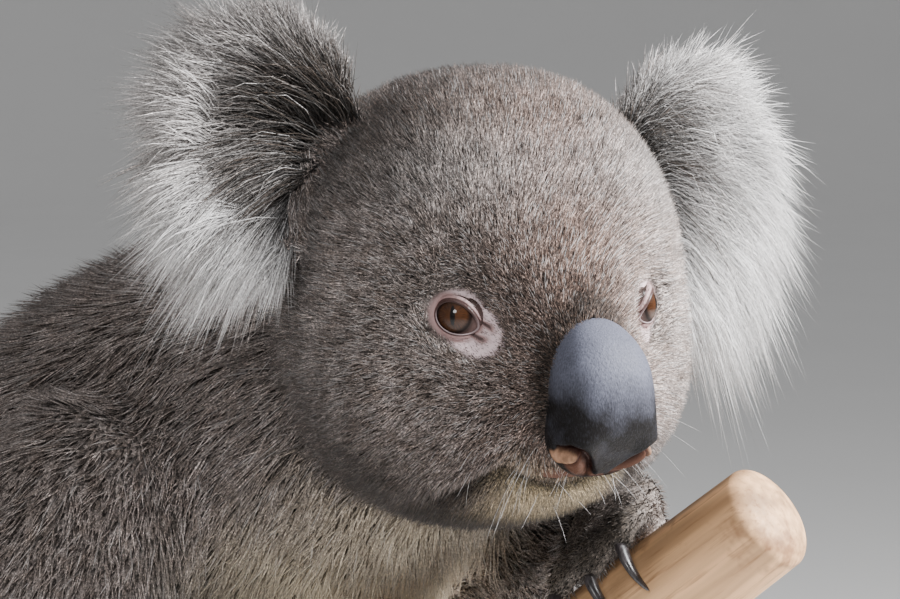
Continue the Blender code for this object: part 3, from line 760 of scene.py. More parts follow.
def lit_knuckles(points):
    """1 on the backs of the paws just behind the digits, fading to 0 within 20 mm: where the paws
    are kept light as a painted highlight.
    """
    near = np.zeros(len(points))
    for digits in DIGITS.values():
        d = np.array(digits, float)
        turn = np.radians(d[:, 1] * 0.8 + d[:, 2] * 0.2)
        place = log_point(d[:, 0] * MM, turn, (d[:, 3] + 5) * MM)
        for spot in place:
            near = np.maximum(near, bell(np.linalg.norm(points - spot, axis=1), 0.014))
    return near


def by_log_height(points):
    """Height of each point off the log's middle line, square to it."""
    return (points - LOG_TOP) @ LOG_UP


# ---------------------------------------------------------------- coat
def triangles_of(mesh):
    """Corner indices of the mesh's triangles as an array."""
    mesh.calc_loop_triangles()
    return rows_of(mesh.loop_triangles, "vertices", 3, np.int32)


def scatter(points, tris, weight, count, rng):
    """Roots spread evenly over the triangles in proportion to the vertex weight: three times
    too many are drawn by area, and of those that share a small cell only one stays. Returns
    the triangle and its three corner shares for each root."""
    a, b, c = (points[tris[:, k]] for k in range(3))
    area = np.linalg.norm(np.cross(b - a, c - a), axis=1) / 2 * weight[tris].mean(1)
    pick = rng.choice(len(tris), count * 3, p=area / area.sum())
    r1, r2 = np.sqrt(rng.random(len(pick))), rng.random(len(pick))
    share = np.stack((1 - r1, r1 * (1 - r2), r1 * r2), -1)
    place = np.einsum("nk,nkd->nd", share, points[tris[pick]])
    cell = math.sqrt(area.sum() / count) * 0.86
    key = np.floor(place / cell).astype(np.int64)
    code = key[:, 0] * 73856093 ^ key[:, 1] * 19349663 ^ key[:, 2] * 83492791
    _, first = np.unique(code, return_index=True)
    rng.shuffle(first)
    keep = first[:count]
    return pick[keep], share[keep]


def at_roots(values, tris, pick, share):
    """A vertex array's values at the roots."""
    if values.ndim == 1:
        return np.einsum("nk,nk->n", share, values[tris[pick]])
    return np.einsum("nk,nkd->nd", share, values[tris[pick]])


def spikes(roots, normals, ways, lengths, widths, leans):
    """Closed four-sided tufts: three corners sunk in the skin round each root, and a tip at
    root + length * (way * cos(lean) + normal * sin(lean)). Returns points (n, 4, 3), faces
    and how far along each corner is."""
    n = len(roots)
    reach = np.cos(leans)[:, None] * ways + np.sin(leans)[:, None] * normals
    across = unit(np.cross(normals, ways))
    rise = unit(np.cross(ways, across))
    half = widths[:, None] / 2
    sunk = roots - normals * ROOT_SINK
    corners = np.stack((sunk + across * half, sunk - across * half,
                        sunk + rise * half * 1.1 + ways * half * 0.4,
                        roots + reach * lengths[:, None]), 1)
    face = np.array(((0, 2, 3), (2, 1, 3), (1, 0, 3), (0, 1, 2)))
    faces = (np.arange(n)[:, None, None] * 4 + face).reshape(-1, 3)
    return corners, [faces], np.tile((0.0, 0.0, 0.0, 1.0), (n, 1))


def strands(roots, ways, bends, lengths, widths, rings):
    """Closed tapering strands of three sides: the middle line is root + length * (t * way +
    t^2 * bend), and half the width falls to a third by the last ring before the tip."""
    n = len(roots)
    t = np.linspace(0, 1, rings + 1)
    line = roots[:, None] + lengths[:, None, None] * (
        t[None, :, None] * ways[:, None] + (t ** 2)[None, :, None] * bends[:, None])
    tangent = unit(ways[:, None] + 2 * t[None, :, None] * bends[:, None])
    side = unit(np.cross(tangent, np.array((0.13, 0.21, 0.97))))
    rise = np.cross(tangent, side)
    half = widths[:, None] / 2 * (1 - 0.66 * t[None] ** 1.5)
    turn = np.arange(3) * FULL_TURN / 3
    ring = line[:, :rings, None] + half[:, :rings, None, None] * (
        np.cos(turn)[None, None, :, None] * side[:, :rings, None]
        + np.sin(turn)[None, None, :, None] * rise[:, :rings, None])
    points = np.concatenate((ring.reshape(n, rings * 3, 3), line[:, rings:]), 1)
    quads = grid_faces(rings, 3)
    last, tip = (rings - 1) * 3, rings * 3
    tris = np.array([(0, 2, 1)] + [(last + k, last + (k + 1) % 3, tip) for k in range(3)])
    base = np.arange(n)[:, None, None] * (tip + 1)
    along = np.append(np.repeat(t[:rings], 3), 1.0)
    return (points, [(base + quads).reshape(-1, 4), (base + tris).reshape(-1, 3)],
            np.tile(along, (n, 1)))


def coat_piece(name, corners, faces, along, tone, white, marking, unwrap):
    """A coat object: its strand attribute holds how far along the hair, its tone and its
    whiteness, its marking is that of the skin at the root, and its map OFBake gives every
    tuft a patch 0.003 across at the root's place on the unwrap."""
    each = corners.shape[1]
    obj = mesh_object(name, corners, faces)
    own = np.repeat(np.stack((tone, white), -1)[:, None], each, 1)
    strand = np.concatenate((along[..., None], own), -1)
    put_attribute(obj.data, "strand", strand.reshape(-1, 3))
    put_attribute(obj.data, "marking", np.repeat(marking, each, 0))
    patch = np.stack((np.cos(circle(each)), np.sin(circle(each))), -1) * MAP_PATCH / 2
    uv = (np.clip(unwrap, 0.003, 0.997)[:, None] + patch).reshape(-1, 2)
    loops = rows_of(obj.data.loops, "vertex_index", 1, np.int32)[:, 0]
    layer = obj.data.uv_layers.new(name="OFBake")
    layer.data.foreach_set("uv", uv[loops].astype(np.float32).ravel())
    return obj


def head_map(roots, _):
    """Places on the head's own map: the angle from its forward axis is the distance from the
    map's middle, so the back of the head is the rim."""
    d = unit(to_head(roots) - (0.010, 0, -0.005))
    away = np.arccos(np.clip(d[:, 0], -1, 1)) / math.pi * 0.49
    turn = np.arctan2(d[:, 2], d[:, 1])
    return 0.5 + away[:, None] * np.stack((np.cos(turn), np.sin(turn)), -1)


def round_unwrap(points, knots, along, tile, tiles):
    """Places on a limb's or the spine's map: turn round its chain across, and the way along
    it up, in one of several tiles side by side."""
    k = by_log(np.array(knots, float))
    near = np.clip(along, 0, len(k) - 1.001).astype(int)
    middle = k[near] + (along - near)[:, None] * (k[near + 1] - k[near])
    line = unit(k[near + 1] - k[near])
    v = points - middle
    first = unit(LOG_LEFT - line * (line @ LOG_LEFT)[:, None])
    second = np.cross(line, first)
    turn = np.arctan2(np.sum(v * second, 1), np.sum(v * first, 1)) / FULL_TURN + 0.5
    return np.stack(((tile + 0.02 + 0.96 * turn) / tiles, 0.01 + 0.98 * along / (len(k) - 1)), -1)


def lay_coat(name, weight, count, rng, unwrap, spread):
    """One piece of short coat laid over the skin where weight is above 0, its tufts varying
    in way and tone by spread."""
    points, normals, tris = SHARED["arrays"]
    facts = SHARED["facts"]
    pick, share = scatter(points, tris, weight, count, rng)

    def at(values):
        return at_roots(values, tris, pick, share)
    roots, no = at(points), unit(at(normals))
    n = len(roots)
    way = unit(at(facts["flow"]))
    across = np.cross(no, way)
    veer = rng.normal(0, 0.16 + 0.18 * spread, n) + 0.30 * drift(roots, 0.0030, 4.4)
    way = unit(way + veer[:, None] * across)
    length = at(facts["length"]) * rng.uniform(0.75, 1.18, n)
    width = at(facts["width"]) * rng.uniform(0.75, 1.20, n)
    lean = at(facts["lean"]) * rng.uniform(0.72, 1.30, n)
    corners, faces, along = spikes(roots, no, way, length, width, lean)
    clump = 0.5 + 0.5 * drift(roots, 0.0026, 7.7)
    tone = np.clip(0.5 + spread * (rng.normal(0, 0.24, n) + 0.30 * (clump - 0.5)), 0, 1)
    white = (rng.random(n) < 0.10).astype(float) * spread
    return coat_piece(name, corners, faces, along, tone, white, at(facts["marking"]),
                      unwrap(roots, at))


def spine_map(roots, at):
    """The trunk's map at the roots."""
    return round_unwrap(roots, SPINE[::-1], at(SHARED["facts"]["spine_along"]), 0, 1)


def limb_map(names):
    """A function that gives the map of these limbs at the roots, each on its own tile."""
    def places(roots, at):
        facts = SHARED["facts"]
        best = np.stack([at(facts[n]) for n in names], 1).argmax(1)
        maps = [round_unwrap(roots, LIMBS[n], at(facts[n + "_along"]), k, len(names))
                for k, n in enumerate(names)]
        return np.stack(maps, 1)[np.arange(len(roots)), best]
    return places


def make_coat(settings):
    """The short coat of the head in three pieces and of the body in four. None grows on the
    ears' leaves, nose, lips, lid rims or the groove of the mouth, and little on bare skin."""
    points = SHARED["arrays"][0]
    facts = SHARED["facts"]
    q = to_head(points)
    ears = np.maximum(facts["ear_left"], facts["ear_right"])
    nose = ease(nose_distance(points), -0.0024, -0.0012)
    bare = facts["bare"] + 0.30 * drift(points, 0.0011, 5.5)
    haired = (1 - ears) * nose * (1 - SHARED["lip"]) * (1 - 0.86 * ease(bare, 0.15, 0.85))
    haired *= 1 - ease(SHARED["rim"], 0.36, 0.48)
    groove = bell(mouth_height(q), 0.0012) * (1 - ease(np.abs(q[:, 1]), 0.019, 0.026))
    haired *= 1 - groove * ease(q[:, 0], 0.030, 0.042)
    head = facts["head"] > 0.5
    face = head & (q[:, 0] > 0.0)
    front = 0.55 + 0.75 * ease(q[:, 0], 0.0, 0.035)
    limb = ~head & (facts["limb"] > 0.5)
    trunk = ~head & ~limb
    arm = (facts["arm_left"] + facts["arm_right"]) > (facts["leg_left"] + facts["leg_right"])
    chest = facts["spine_along"] < 3.5
    paws = 1 + 2.2 * facts["paw"]
    rng = np.random.default_rng(SEED_COAT)
    scale = settings.coat_amount
    return [lay_coat(name, haired * where * thick, int(TUFTS[name] * scale), rng, unwrap, spread)
            for name, where, thick, unwrap, spread in (
                ("coat_face_left", face & (q[:, 1] >= 0), front, head_map, 1.0),
                ("coat_face_right", face & (q[:, 1] < 0), front, head_map, 1.0),
                ("coat_crown", head & ~face, 1.0, head_map, 1.0),
                ("coat_back", trunk & ~chest, paws, spine_map, 0.55),
                ("coat_chest", trunk & chest, paws, spine_map, 0.55),
                ("coat_arms", limb & arm, paws, limb_map(("arm_left", "arm_right")), 0.55),
                ("coat_legs", limb & ~arm, paws, limb_map(("leg_left", "leg_right")), 0.55))]


def outline_reach(x, y, away, half):
    """How far the ellipse of an ear's outline lies from each place in it, along away."""
    a = (away[:, 0] / half[0]) ** 2 + (away[:, 1] / half[1]) ** 2
    b = x * away[:, 0] / half[0] ** 2 + y * away[:, 1] / half[1] ** 2
    c = (x / half[0]) ** 2 + (y / half[1]) ** 2 - 1
    return (-b + np.sqrt(np.maximum(b * b - a * c, 0))) / a


def make_ear_hair(name, settings):
    """The long hair of one ear in two pieces. In front each strand fans out from the ear's root
    by the head, long enough to reach the ear's outline, and its tip droops. Behind it lies
    shorter, from the root out to the rim."""
    points, normals, tris = SHARED["arrays"]
    place, half, outward, upward, towards, side = ear_axes(name)
    longer, shorter, droops = EAR_HAIR[name]
    local, _, _ = ear_place(points, name)
    facing = normals @ (towards @ HEAD_AXES)
    rng = np.random.default_rng(SEED_EARS + side)
    axes = np.stack((outward, upward, towards)) @ HEAD_AXES
    rim = leaf_out(local, half) / LEAF_SHARE
    scale = settings.coat_amount
    laid = []
    for where, front in (("front", True), ("back", False)):
        weight = SHARED["facts"]["ear_" + name] * ease(facing if front else -facing, -0.35, 0.15)
        weight = weight * (0.45 + 1.1 * ease(rim, 0.4, 1.0))
        pick, share = scatter(points, tris, weight, int(EAR_STRANDS[where] * scale), rng)
        roots = at_roots(points, tris, pick, share)
        n = len(roots)
        v = to_head(roots) - place
        x, y = v @ outward, v @ upward
        out, up = x / half[0], y / half[1]
        bx, by = -0.80 * half[0], -0.22 * half[1]
        away = unit(np.stack((x - bx, y - by), -1))
        # locks: hair of one small cell leans one way and draws together at the tips
        cell = np.floor(np.stack((x, y), -1) / LOCK_CELL + rng.normal(0, 0.28, (n, 2)))
        lock = ((cell[:, 0] * 127 + cell[:, 1] * 311).astype(int)) % LOCKS
        lock_way = rng.normal(0, 0.26, (LOCKS, 2))[lock]
        lock_reach = rng.uniform(0.66, 1.18, LOCKS)[lock]
        lock_lift = rng.normal(0, 0.16, LOCKS)[lock]
        pull = (cell + 0.5) * LOCK_CELL - np.stack((x, y), -1)
        away = unit(away + rng.normal(0, 0.10, (n, 2)) + lock_way)
        reach = outline_reach(x, y, away, half)
        stretch = rng.uniform(0.62, 1.10, n) * lock_reach
        if front:
            length = np.clip(longer * reach * stretch, 0.014, 0.055)
            length *= 1 - 0.45 * ease(-away[:, 1], 0.5, 0.9) * ease(-out, 0.2, 0.7)
            length *= 1 - shorter * ease(-away[:, 1], 0.2, 0.8)
            lift = rng.uniform(0.12, 0.50, n) + lock_lift
        else:
            length = np.clip(reach * stretch, 0.010, 0.032)
            lift = -rng.uniform(0.10, 0.45, n)
        way = unit(away[:, :1] * axes[0] + away[:, 1:] * axes[1] + lift[:, None] * axes[2])
        curl = rng.normal(0, 0.07, (n, 3)) - lift[:, None] * 0.55 * axes[2]
        gather = 0.65 * (pull[:, :1] * axes[0] + pull[:, 1:] * axes[1])
        curl += gather / np.maximum(length, 0.026)[:, None]
        droop = (0.22 + 0.25 * ease(up, 0.6, -0.6)) * droops
        bend = curl + np.array((0, 0, -1.0)) * (droop * rng.uniform(0.5, 1.3, n))[:, None]
        width = rng.uniform(0.22, 0.42, n) * MM * (1.0 if front else 1.5)
        corners, faces, along = strands(roots, way, bend, length / 1.05, width, STRAND_RINGS)
        if front:
            # dark hair by the ear's root, white outside it and below; the right ear's upper hair is
            # greyer, partly its own grey and partly painted shade
            inner = bell(np.hypot(x - bx, (y - by) * 0.7), 0.030)
            if side > 0:
                inner *= 0.95 * ease(up, -0.45, -0.05)
            high = ease(up, 0.25, 0.95)
            pale = np.clip(1.0 - 1.1 * inner - 0.45 * high + rng.normal(0, 0.15, n), 0, 1)
            if side > 0:
                pale = 0.84 * pale
            else:
                pale = np.clip(pale * (0.35 + 0.75 * ease(-y / half[1], -0.1, 0.7)), 0, 1)
            dark = np.clip(1.1 * inner + 0.1 * high, 0, 1)
        else:
            pale = np.clip(0.15 + 0.5 * ease(reach, 0.020, 0.004) + rng.normal(0, 0.1, n), 0, 1)
            dark = np.zeros(n)
        marking = np.stack((pale, 0 * pale, dark, 0 * pale), -1)
        tone = np.clip(0.5 + rng.normal(0, 0.22, n), 0, 1)
        white = pale * (rng.random(n) < 0.7)
        laid.append(coat_piece(f"coat_ear_{name}_{where}", corners, faces, along, tone, white,
                               marking, 0.5 + 0.46 * np.stack((out, up), -1)))
    return laid


def make_whiskers():
    """Fine pale bristles on both lip pads, on the chin and just over the eyes, as closed strands
    that start just under the skin and bend down."""
    points, normals, _ = SHARED["arrays"]
    q = to_head(points)
    rng = np.random.default_rng(SEED_WHISKERS)
    roots, ways, lengths = [], [], []
    for (f, l, u), radius, count, length in (
            ((0.052, 0.026, -0.045), 0.009, 9, 0.019),
            ((0.050, 0.013, -0.064), 0.010, 12, 0.012),
            ((0.046, 0.030, 0.010), 0.003, 2, 0.012)):
        for side in (1, -1):
            far = np.linalg.norm(q - (f, side * l, u), axis=1)
            near = np.flatnonzero(far < far.min() + radius)
            pick = rng.choice(near, count, replace=False)
            lean = (0.02, 0.75 * side, -0.50) if u < 0 else (0.0, -0.9 * side, 0.15)
            way = normals[pick] * 0.5 + rng.normal(0, 0.13, (count, 3)) + np.array(lean) @ HEAD_AXES
            roots.append(points[pick] - normals[pick] * 0.0005)
            ways.append(unit(way))
            lengths.append(length * rng.uniform(0.55, 1.15, count))
    roots, ways, lengths = np.vstack(roots), np.vstack(ways), np.concatenate(lengths)
    n = len(roots)
    bend = rng.normal(0, 0.08, (n, 3)) + np.array((0, 0, -0.22))
    corners, faces, along = strands(roots, ways, bend, lengths, np.full(n, WHISKER_WIDTH), 7)
    obj = mesh_object("whiskers", corners, faces)
    along = along.ravel()
    put_attribute(obj.data, "strand", np.stack((along, along * 0 + 0.6, along * 0 + 0.3), -1))
    put_attribute(obj.data, "marking", np.tile((0.6, 0.0, 0.0, 0.0), (len(along), 1)))
    return obj


# ---------------------------------------------------------------- eyes and nose
def make_eyeball(name, side):
    """An eyeball as rings about the way it looks: radius + 0.4 mm * exp(-(angle / 0.5)^2), the
    clear front of the eye standing a little proud. Its gaze attribute holds the place across
    and up from the middle of the iris, over the radius, and whether it is in front."""
    centre, out, inner, up = eye_axes(side)
    rows, columns = 56, 72
    angle = np.linspace(0.012, math.pi - 0.012, rows)[:, None]
    turn = circle(columns)[None, :]
    radius = EYE_RADIUS + 0.0004 * bell(angle, 0.50)
    look = unit(out + GAZE_IN[side] * inner + GAZE_UP * up)
    across = unit(inner - look * (inner @ look))
    lift = unit(up - look * (up @ look))
    x, y = np.sin(angle) * np.cos(turn), np.sin(angle) * np.sin(turn)
    ring = radius[..., None] * (np.cos(angle)[..., None] * look
                                + x[..., None] * across + y[..., None] * lift)
    obj = closed_surface(name, from_head(centre + ring))
    v = to_head(points_of(obj.data)) - centre
    r = np.linalg.norm(v, axis=1)
    gaze = np.stack((0.5 + 0.5 * (v @ across) / r, 0.5 + 0.5 * (v @ lift) / r,
                     (v @ look > 0).astype(float)), -1)
    put_attribute(obj.data, "gaze", gaze)
    return obj


def make_lid_rim(name, side):
    """The wet edge of the lids: a cord carried along the opening on the eyeball, 0.6 mm thick
    below the eye, 1 mm above it and 0.8 mm at the inner corner. Its rim attribute holds how
    far each point is to the outside, in the corner and below."""
    centre, out, inner, up = eye_axes(side)
    columns, profile = 120, 12
    turn, t = circle(columns), circle(profile)
    edge = np.arcsin(np.clip(lid_opening(turn) / EYE_RADIUS, 0, 0.99))
    corner = bell(np.angle(np.exp(1j * (turn + 0.45))), 0.34)
    upper = ease(np.sin(turn + LID_TILT), 0.0, 0.5)
    half = 0.00028 + 0.00022 * upper + 0.00012 * corner
    around = np.cos(turn)[:, None] * inner + np.sin(turn)[:, None] * up
    radial = np.cos(edge)[:, None] * out + np.sin(edge)[:, None] * around
    slide = -np.sin(edge)[:, None] * out + np.cos(edge)[:, None] * around
    middle = centre + radial * (EYE_RADIUS + 0.00008) + slide * 0.00005
    ring = middle[:, None] + half[:, None, None] * (
        np.cos(t)[None, :, None] * radial[:, None]
        + 1.15 * np.sin(t)[None, :, None] * slide[:, None])
    faces = grid_faces(columns + 1, profile) % (columns * profile)
    obj = mesh_object(name, from_head(ring).reshape(-1, 3), [faces])
    outwards(obj.data)
    outer = np.clip(0.5 + 0.7 * np.sin(t), 0, 1)[None, :] * np.ones((columns, 1))
    below = ease(-np.sin(turn + LID_TILT), 0.0, 0.5)[:, None] * np.ones((1, profile))
    place = np.stack((outer, np.repeat(corner[:, None], profile, 1), below), -1)
    put_attribute(obj.data, "rim", place.reshape(-1, 3))
    return obj


# One nostril's slot over the pad: places across and up as shares of the half width and height.
NOSTRIL = np.array(((0.90, -0.590), (0.80, -0.635), (0.66, -0.725), (0.48, -0.82), (0.31, -0.905),
                    (0.22, -0.960)))


def line_distance(points, line):
    """Distance from 2-D points to a broken line."""
    best = np.full(len(points), 9.0)
    for a, b in zip(line[:-1], line[1:]):
        w = b - a
        t = np.clip((points - a) @ w / (w @ w), 0, 1)
        best = np.minimum(best, np.linalg.norm(points - (a + t[:, None] * w), axis=1))
    return best


def make_nose():
    """The nose pad as rings about its forward axis. A point is half size * unit direction,
    squared up by a power from 2.3 at the foot to 3.0 at the top, leaning back at the top and
    narrower there, its wings a little wider and its lower middle drawn back. It is sunk along
    the two comma-shaped nostrils and round the flap below each, and swells in the flap. Its
    pad attribute holds the flap, the hollows, how low each point is and the lip."""
    rows, columns = 140, 300
    away = np.linspace(0.010, 2.05, rows)[:, None]
    turn = circle(columns)[None, :]
    d = np.stack((np.cos(away) * np.ones_like(turn), np.sin(away) * np.cos(turn),
                  np.sin(away) * np.sin(turn)), -1)
    power = 2.3 + 0.7 * ease(-d[..., 2:], -0.2, 0.5)
    d /= np.sum(np.abs(d) ** power, -1, keepdims=True) ** (1 / power)
    fore, side, up = d[..., 0], np.abs(d[..., 1]), d[..., 2]
    top, foot = np.clip(up, 0, 1), np.clip(-up, 0, 1)
    p = d * (NOSE_HALF * (1.0, 0.97, 0.905))
    wing = 0.05 * ease(foot, 0.2, 0.6) * (1 - ease(foot, 0.7, 0.9))
    p[..., 1] *= 1 - 0.13 * top ** 2 + 0.02 * foot + wing
    p[..., 0] -= 0.005 * top ** 2
    p[..., 0] -= foot_shift(side, foot) * ease(fore, -0.3, 0.5)
    p[..., 2] -= 0.0004
    ahead = ease(fore, -0.10, 0.05)
    slot = line_distance(np.stack((side, up), -1).reshape(-1, 2), NOSTRIL).reshape(rows, columns)
    wide = 0.045 + 0.035 * ease(side, 0.85, 0.62) * ease(side, 0.25, 0.42)
    line = np.interp(side, NOSTRIL[::-1, 0], NOSTRIL[::-1, 1])
    under = ease(line - up, -0.01, 0.03)
    hole = bell(slot, wide) * ahead
    from_flap = np.hypot((side - 0.875) / 0.112, (up + 0.705) / 0.118)
    flap = (1 - ease(from_flap, 0.55, 1.1)) * (1 - ease(hole, 0.35, 0.6))
    flap = flap * ease(fore, -0.45, -0.2)
    rim = bell(from_flap - 1.12, 0.14) * under * ahead
    lip = under * (1 - flap) * ahead
    ridge = bell(slot - 0.11, 0.05) * ahead * (1 - under)
    p *= (1 - 0.13 * hole - 0.035 * rim + 0.020 * flap - 0.02 * lip + 0.012 * ridge)[..., None]
    p[..., 0] -= 0.0012 * hole
    p *= (1 + 0.004 * drift(p, 0.0045, 2.0))[..., None]
    obj = closed_surface("nose_pad", from_head(NOSE_PLACE + p))
    # How low each point is and how far out to the side: where the nose turns near black, partly
    # painted shade.
    low = np.clip(ease(-up, -0.50, 0.44) + 0.38 * ease(side, 0.55, 1.0), 0, 1)
    mask = np.stack((flap, np.maximum(hole, 0.75 * rim), low, lip), -1).reshape(-1, 4)
    put_attribute(obj.data, "pad", np.vstack((mask, mask[:1], mask[-1:])))
    return obj


# ---------------------------------------------------------------- log, claws and stand
def log_radius(down):
    """Radius of the plain log at a distance down it: a straight taper."""
    return LOG_RADII[0] + (LOG_RADII[1] - LOG_RADII[0]) * down / LOG_LENGTH


def round_log(down, turn, r):
    """Points at a distance r from the log's middle line, down it, and turned round it from its
    upper side to the koala's left."""
    return (LOG_TOP - down[..., None] * LOG_AXIS + (r * np.cos(turn))[..., None] * LOG_UP
            + (r * np.sin(turn))[..., None] * LOG_LEFT)


def log_point(down, turn, over):
    """Points at a height over the log's bark, in metres, with turns in radians."""
    return round_log(down, turn, log_radius(down) + over)


# Where each drying crack starts round the log, how fast it wanders, where it begins and ends
# down the log, and how deep it is.
CHECKS = ((0.6, 1.6, 0.03, 0.21, 0.0005), (1.9, -1.0, 0.10, 0.36, 0.0006),
          (3.3, 1.2, 0.0, 0.16, 0.0006), (4.4, -1.4, 0.22, 0.48, 0.0007),
          (5.4, 0.9, 0.05, 0.30, 0.0005))


def make_log():
    """The log as rings down its length: radius plus three slow waves, with long wandering
    cracks pressed in, the upper end worn round and the lower end sawn with a small bevel."""
    flap_tone, sawn = 0.0075, 0.0016
    quarter = [a * math.pi / 2 for a in np.linspace(0, 1, 26)[1:]]
    down = [flap_tone * (1 - math.cos(a)) for a in quarter]
    down += list(np.linspace(flap_tone, LOG_LENGTH - sawn, 190)[1:])
    down += [LOG_LENGTH - sawn * 0.3] + [LOG_LENGTH] * 12
    size = [math.sin(a) ** 0.9 for a in quarter] + [1.0] * 189
    size += [1 - sawn * 0.3 / LOG_RADII[1]] + list(np.linspace(1 - sawn / LOG_RADII[1], 0.04, 12))
    down, size = np.array(down)[:, None], np.array(size)[:, None]
    turn = circle(132)[None, :]
    swell = LOG_SWELL * (np.sin(2 * turn + 9 * down) + 0.6 * np.sin(3 * turn - 31 * down)
                         + 0.5 * np.sin(47 * down))
    pressed = np.zeros_like(turn + down)
    for start, wander, first, last, depth in CHECKS:
        middle = start + wander * down + 0.05 * np.sin(38 * down + start)
        gap = np.angle(np.exp(1j * (turn - middle)))
        pressed -= depth * bell(gap, 0.035) * ease(down, first, first + 0.03) * (
            1 - ease(down, last - 0.03, last))
    r = (log_radius(down) + (swell - 0.0003 + pressed) * ease(size, 0.5, 1.0)) * size
    return closed_surface("log_wood", round_log(down, turn, r))


def make_claws(paw):
    """The claws of one paw: rings carried round the log from inside each digit's end, at
    height (digit half + 0.5 mm) * (1 - t) + 1.0 mm * t + hump, thinning to a point."""
    meshes = []
    rows, columns = 22, 16
    t, a = np.linspace(0, 1, rows), circle(columns)
    thick = (2.6 * np.sqrt(np.maximum(1 - t ** 1.6, 0)) * (1 - 0.25 * t) + 0.12) * MM
    for down, first, last, half in DIGITS[paw]:
        sign = math.copysign(1.0, last - first)
        turn = np.radians(last + sign * (-10 + 40 * t))
        over = ((half + 0.5) * (1 - t) + 1.0 * t + 0.9 * np.sin(math.pi * t)) * MM
        middle = log_point(np.full(rows, down * MM), turn, over)
        rise = unit(np.cross(LOG_AXIS, unit(np.gradient(middle, axis=0)))) * sign
        ring = middle[:, None] + thick[:, None, None] * (
            1.05 * np.cos(a)[None, :, None] * rise[:, None]
            + 0.68 * np.sin(a)[None, :, None] * LOG_AXIS)
        meshes.append(taken(closed_surface("claw", ring)))
    obj = joined("claws_" + paw, meshes)
    obj.data.shade_smooth()
    return obj


def make_rod(name, node):
    """A stand rod as rings up its length from the profile of a turned steel post: a collar
    4 mm high with a rounded shoulder on the board, then the plain shaft into the log."""
    low, high = (np.array(c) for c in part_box(node))
    x, y = (low[:2] + high[:2]) / 2
    radius = (high[0] - low[0]) / 2
    z0 = low[2] - 0.0003
    profile = [(z0, radius * 1.75), (z0 + 0.0026, radius * 1.75), (z0 + 0.0036, radius * 1.62),
               (z0 + 0.0040, radius * 1.40), (z0 + 0.0041, radius * 1.08), (z0 + 0.0046, radius)]
    profile += [(z, radius) for z in np.linspace(z0 + 0.008, high[2] + 0.004, 24)]
    z, r = np.array(profile).T
    turn = circle(48)
    ring = np.stack((x + r[:, None] * np.cos(turn), y + r[:, None] * np.sin(turn),
                     np.repeat(z[:, None], len(turn), 1)), -1)
    obj = closed_surface(name, ring)
    obj.data.set_sharp_from_angle(angle=math.radians(40))
    return obj


# ---------------------------------------------------------------- shader groups
def new_group(name, inputs, outputs):
    """An empty node group with named sockets, and its two end nodes."""
    tree = bpy.data.node_groups.new(name, "ShaderNodeTree")
    for label, kind in inputs:
        tree.interface.new_socket(label, in_out="INPUT", socket_type="NodeSocket" + kind)
    for label, kind in outputs:
        tree.interface.new_socket(label, in_out="OUTPUT", socket_type="NodeSocket" + kind)
    return tree, tree.nodes.new("NodeGroupInput"), tree.nodes.new("NodeGroupOutput")


class Net:
    """Short calls for making and joining nodes in one tree."""

    def __init__(self, tree):
        self.tree = tree

    def put(self, socket, value):
        """Joins an output to the socket, or sets the socket's own value."""
        if isinstance(value, bpy.types.NodeSocket):
            self.tree.links.new(value, socket)
        elif isinstance(value, (tuple, list)) and len(value) == 3 and socket.type == "RGBA":
            socket.default_value = (*value, 1.0)
        else:
            socket.default_value = value

    def node(self, kind, inputs=None, **settings):
        """A node with its settings, its inputs given by name or number."""
        n = self.tree.nodes.new("ShaderNode" + kind)
        for key, value in settings.items():
            setattr(n, key, value)
        for key, value in (inputs or {}).items():
            self.put(n.inputs[key], value)
        return n

    def math(self, operation, a, b=0.0, clamp=False):
        """One sum of two values."""
        return self.node("Math", {0: a, 1: b}, operation=operation, use_clamp=clamp).outputs[0]

    def times(self, a, b):
        """Two values multiplied."""
        return self.math("MULTIPLY", a, b)

    def scaled(self, colour, value):
        """A colour multiplied by another colour, or by a value."""
        return self.mix(1.0, colour, value, "MULTIPLY")

    def length(self, a, b):
        """Length of the arrow with these two parts."""
        return self.math("SQRT", self.math("ADD", self.times(a, a), self.times(b, b)))

    def mix(self, factor, a, b, blend="MIX"):
        """One colour mixed from two."""
        n = self.node("Mix", data_type="RGBA", blend_type=blend, clamp_factor=True)
        self.put(n.inputs[0], factor)
        self.put(n.inputs[6], a)
        self.put(n.inputs[7], b)
        return n.outputs[2]

    def span(self, value, low, high, to_low=0.0, to_high=1.0, smooth=False):
        """A value carried from one range to another."""
        n = self.node("MapRange", {0: value, 1: low, 2: high, 3: to_low, 4: to_high},
                      interpolation_type="SMOOTHSTEP" if smooth else "LINEAR")
        return n.outputs[0]

    def noise(self, vector, scale, detail=3.0, rough=0.55):
        """Noise value at a vector."""
        return self.node("TexNoise", {"Vector": vector, "Scale": scale, "Detail": detail,
                                      "Roughness": rough}).outputs[0]

    def parts(self, colour):
        """The three channels of a colour."""
        return self.node("SeparateColor", {0: colour}).outputs

    def grey(self, value):
        """A value as an even grey."""
        return self.node("CombineColor", {0: value, 1: value, 2: value}).outputs[0]

    def place(self):
        """Object coordinates."""
        return self.node("TexCoord").outputs["Object"]

    def drawn(self, vector, scale):
        """A vector scaled by its three axes, so that a pattern is drawn out along one."""
        return self.node("Mapping", {"Vector": vector, "Scale": scale}).outputs[0]

    def attribute(self, name):
        """A stored attribute's colour, and its fourth channel."""
        kept = self.node("Attribute", attribute_name=name).outputs
        return kept["Color"], kept["Alpha"]

    def group(self, tree, inputs):
        """A placed node group with its inputs."""
        n = self.tree.nodes.new("ShaderNodeGroup")
        n.node_tree = tree
        for key, value in inputs.items():
            self.put(n.inputs[key], value)
        return n.outputs


